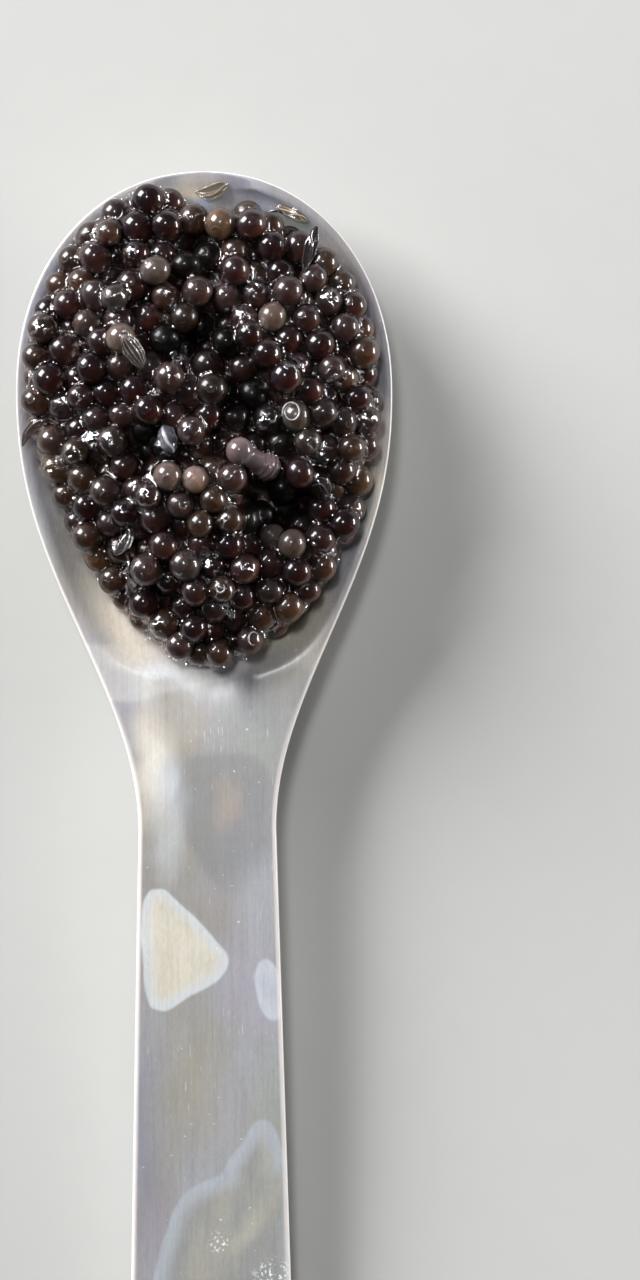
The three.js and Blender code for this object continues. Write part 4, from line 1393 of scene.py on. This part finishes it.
def strand_mesh(middle, width, height, ridges, depth):
    """A closed strand along its middle line, oval across, and how far up a lengthwise ridge each point is."""
    t = ALONG_STRAND
    closing = np.maximum(STRAND_TIP, rounded(np.abs(2 * t - 1), 3, 2))
    ahead = np.gradient(middle, axis=0)
    ahead /= np.linalg.norm(ahead, axis=1, keepdims=True)
    side = np.cross(ahead, (0, 0, 1))
    side /= np.linalg.norm(side, axis=1, keepdims=True)
    upwards = np.cross(side, ahead)
    round_it = np.linspace(0, 2 * math.pi, STRAND_SIDES, endpoint=False)
    wander = RIDGES_WANDER * np.sin(5 * t) + RIDGES_TREMBLE * np.sin(13 * t)
    pleats = 2 * np.abs(np.sin(ridges / 2 * round_it + wander[:, None])) - 1
    ragged = RAGGED * np.sin(17 * t[:, None] + 2 * np.cos(round_it))
    swell = 1 - depth * pleats * np.sin(math.pi * t[:, None]) + ragged
    across = (width * closing)[:, None] * np.cos(round_it) * swell
    up = (height * closing)[:, None] * np.sin(round_it) * swell
    loops = middle[:, None] + across[..., None] * side[:, None] + up[..., None] * upwards[:, None]
    vertices, faces = closed_body(loops[::-1])
    return vertices, faces, (0.5 - 0.5 * pleats[::-1]).ravel()


def shred_finish(name, colour, clear):
    """Skin in folds: milky along its ridges, else clear by that share, and wet."""
    finish = Finish(name, Roughness=0.1, Coat_Weight=1.0, Coat_Roughness=0.02)
    fibres = finish.clouds(finish.place(), 1800, 3, 0.6)
    valleys = [VALLEY_SHADE * channel for channel in colour]
    milky = finish.step(finish.share("fold") + 0.5 * fibres, 0.7, 1.1)
    finish.set("Base Color", finish.blend(milky, paint(*valleys), paint(*colour)))
    finish.set("Alpha", (1 - clear) + clear * milky)
    finish.set("Normal", finish.relief(fibres, 0.04 * mm, 0.7))
    return finish


def add_strand(name, look, middle):
    width, height = curve(look["width"]) * mm, curve(look["height"]) * mm
    vertices, faces, heights = strand_mesh(middle, width, height, look["ridges"], look["depth"])
    roe_piece(name, vertices, faces, shred_finish(name, look["colour"], look["clear"]), fold=heights)


def add_shred(name, look, ground, start=(0, 0)):
    """Lays a strand over the ground, with its spine's places from the start, in metres."""
    spine = np.array(look["spine"]) * mm + (*start, 0)
    spine[:, 2] += ground(spine[:, 0], spine[:, 1])
    add_strand(name, look, curve(spine))


def egg_tops(x, y):
    """The heap's upper side near each point, and never lower than just under the highest of them."""
    tops = heap_top(x, y, UNDER_SHRED)
    return np.maximum(tops, tops.max() - DEEPEST_UNDER_SHRED)


def tailed_egg_top(x, y):
    """The heap's upper side near each point, as close to the eggs as the tail lies."""
    return heap_top(x, y, UNDER_TAIL)


def shell_top(x, y):
    """The bare shell near each point."""
    return polished_side(x, TIP_TO_DEEPEST - y)


def ring_on_egg(egg, aside, half, start, turns):
    """The middle line of a ring that lies on an egg."""
    x, y, z, radius, _ = eggs[egg_at(*egg)]
    turn = math.radians(start) + 2 * math.pi * turns * ALONG_STRAND
    size = (1 - RING_CLOSES_IN * abs(turns) * ALONG_STRAND) * mm
    over = aside[0] * mm + half[0] * size * np.cos(turn)
    along = aside[1] * mm + half[1] * size * np.sin(turn)
    up = np.sqrt(np.maximum(0, (RING_LIES_AT * radius) ** 2 - over**2 - along**2))
    return np.stack([x + over, y + along, z + up], 1)


for name, look in SHREDS.items():
    add_shred(name, look, egg_tops)
add_shred("pale_tail", PALE_TAIL, tailed_egg_top, eggs[egg_at(*TAILED_EGG), :2])
for name, look in FLAKES.items():
    add_shred(name, look, shell_top)
for name, ring in RINGS.items():
    add_strand(name, RING_AND_PAINTED_ARC_LOOK, ring_on_egg(**ring))


# ---------------------------------------------------------------- twin egg
# Two small eggs that are still joined in one skin, like a peanut. It was drawn in at the waist as they
# grew, and is creased round the second one.

TWIN_STEPS = 70
TWIN_SIDES = 40
TWIN_COLOUR = (98, 86, 87)
TWIN_WAIST = 0.74  # width of the waist, as a share of the eggs'
TWIN_TIP = 0.01 * mm  # the ends are closed at this radius
TWIN_END = 0.001  # of a half turn
TWIN_CREASES = 12
TWIN_CREASE = 0.06  # depth of the creases, as a share of the radius
CREASED_FROM = 0.2  # where they start, as a share of the way from the waist to the second egg's middle
CREASED_FULL = 0.9  # and where they are deepest


def twin_mesh(start, end, radius):
    """Two balls joined at a waist, with creases round the second one."""
    start, end = Vector(start), Vector(end)
    ahead = (end - start).normalized()
    side = ahead.cross(Vector((0, 0, 1))).normalized()
    up = side.cross(ahead)
    half = (end - start).length / 2
    t = -np.cos(np.linspace(TWIN_END, math.pi - TWIN_END, TWIN_STEPS))
    along = (half + radius) * t
    lobes = np.sqrt(np.maximum(0, radius**2 - (np.abs(along) - half) ** 2))
    body = np.where(np.abs(along) < half, np.maximum(lobes, TWIN_WAIST * radius), lobes)
    creased = smooth(along, CREASED_FROM * half, CREASED_FULL * half)
    creases = TWIN_CREASE * creased * np.cos(TWIN_CREASES * math.pi * t)
    around = np.maximum(TWIN_TIP, body * (1 + creases))
    turn = np.linspace(0, 2 * math.pi, TWIN_SIDES, endpoint=False)
    outwards = np.cos(turn)[:, None] * np.array(side) + np.sin(turn)[:, None] * np.array(up)
    middle = np.array((start + end) / 2) + along[:, None] * np.array(ahead)
    return closed_body((middle[:, None] + around[:, None, None] * outwards)[::-1])


first_twin, second_twin = eggs[twin_numbers]
twin_radius = EGG_SWELL * (first_twin[3] + second_twin[3]) / 2
vertices, faces = twin_mesh(first_twin[:3], second_twin[:3], twin_radius)
skin, light = np.tile(paint(*TWIN_COLOUR), (len(vertices), 1)), np.ones(len(vertices))
roe_piece("twin_egg", vertices, faces, egg_finish("twin_egg", 0.0), skin=skin, daylight=light)
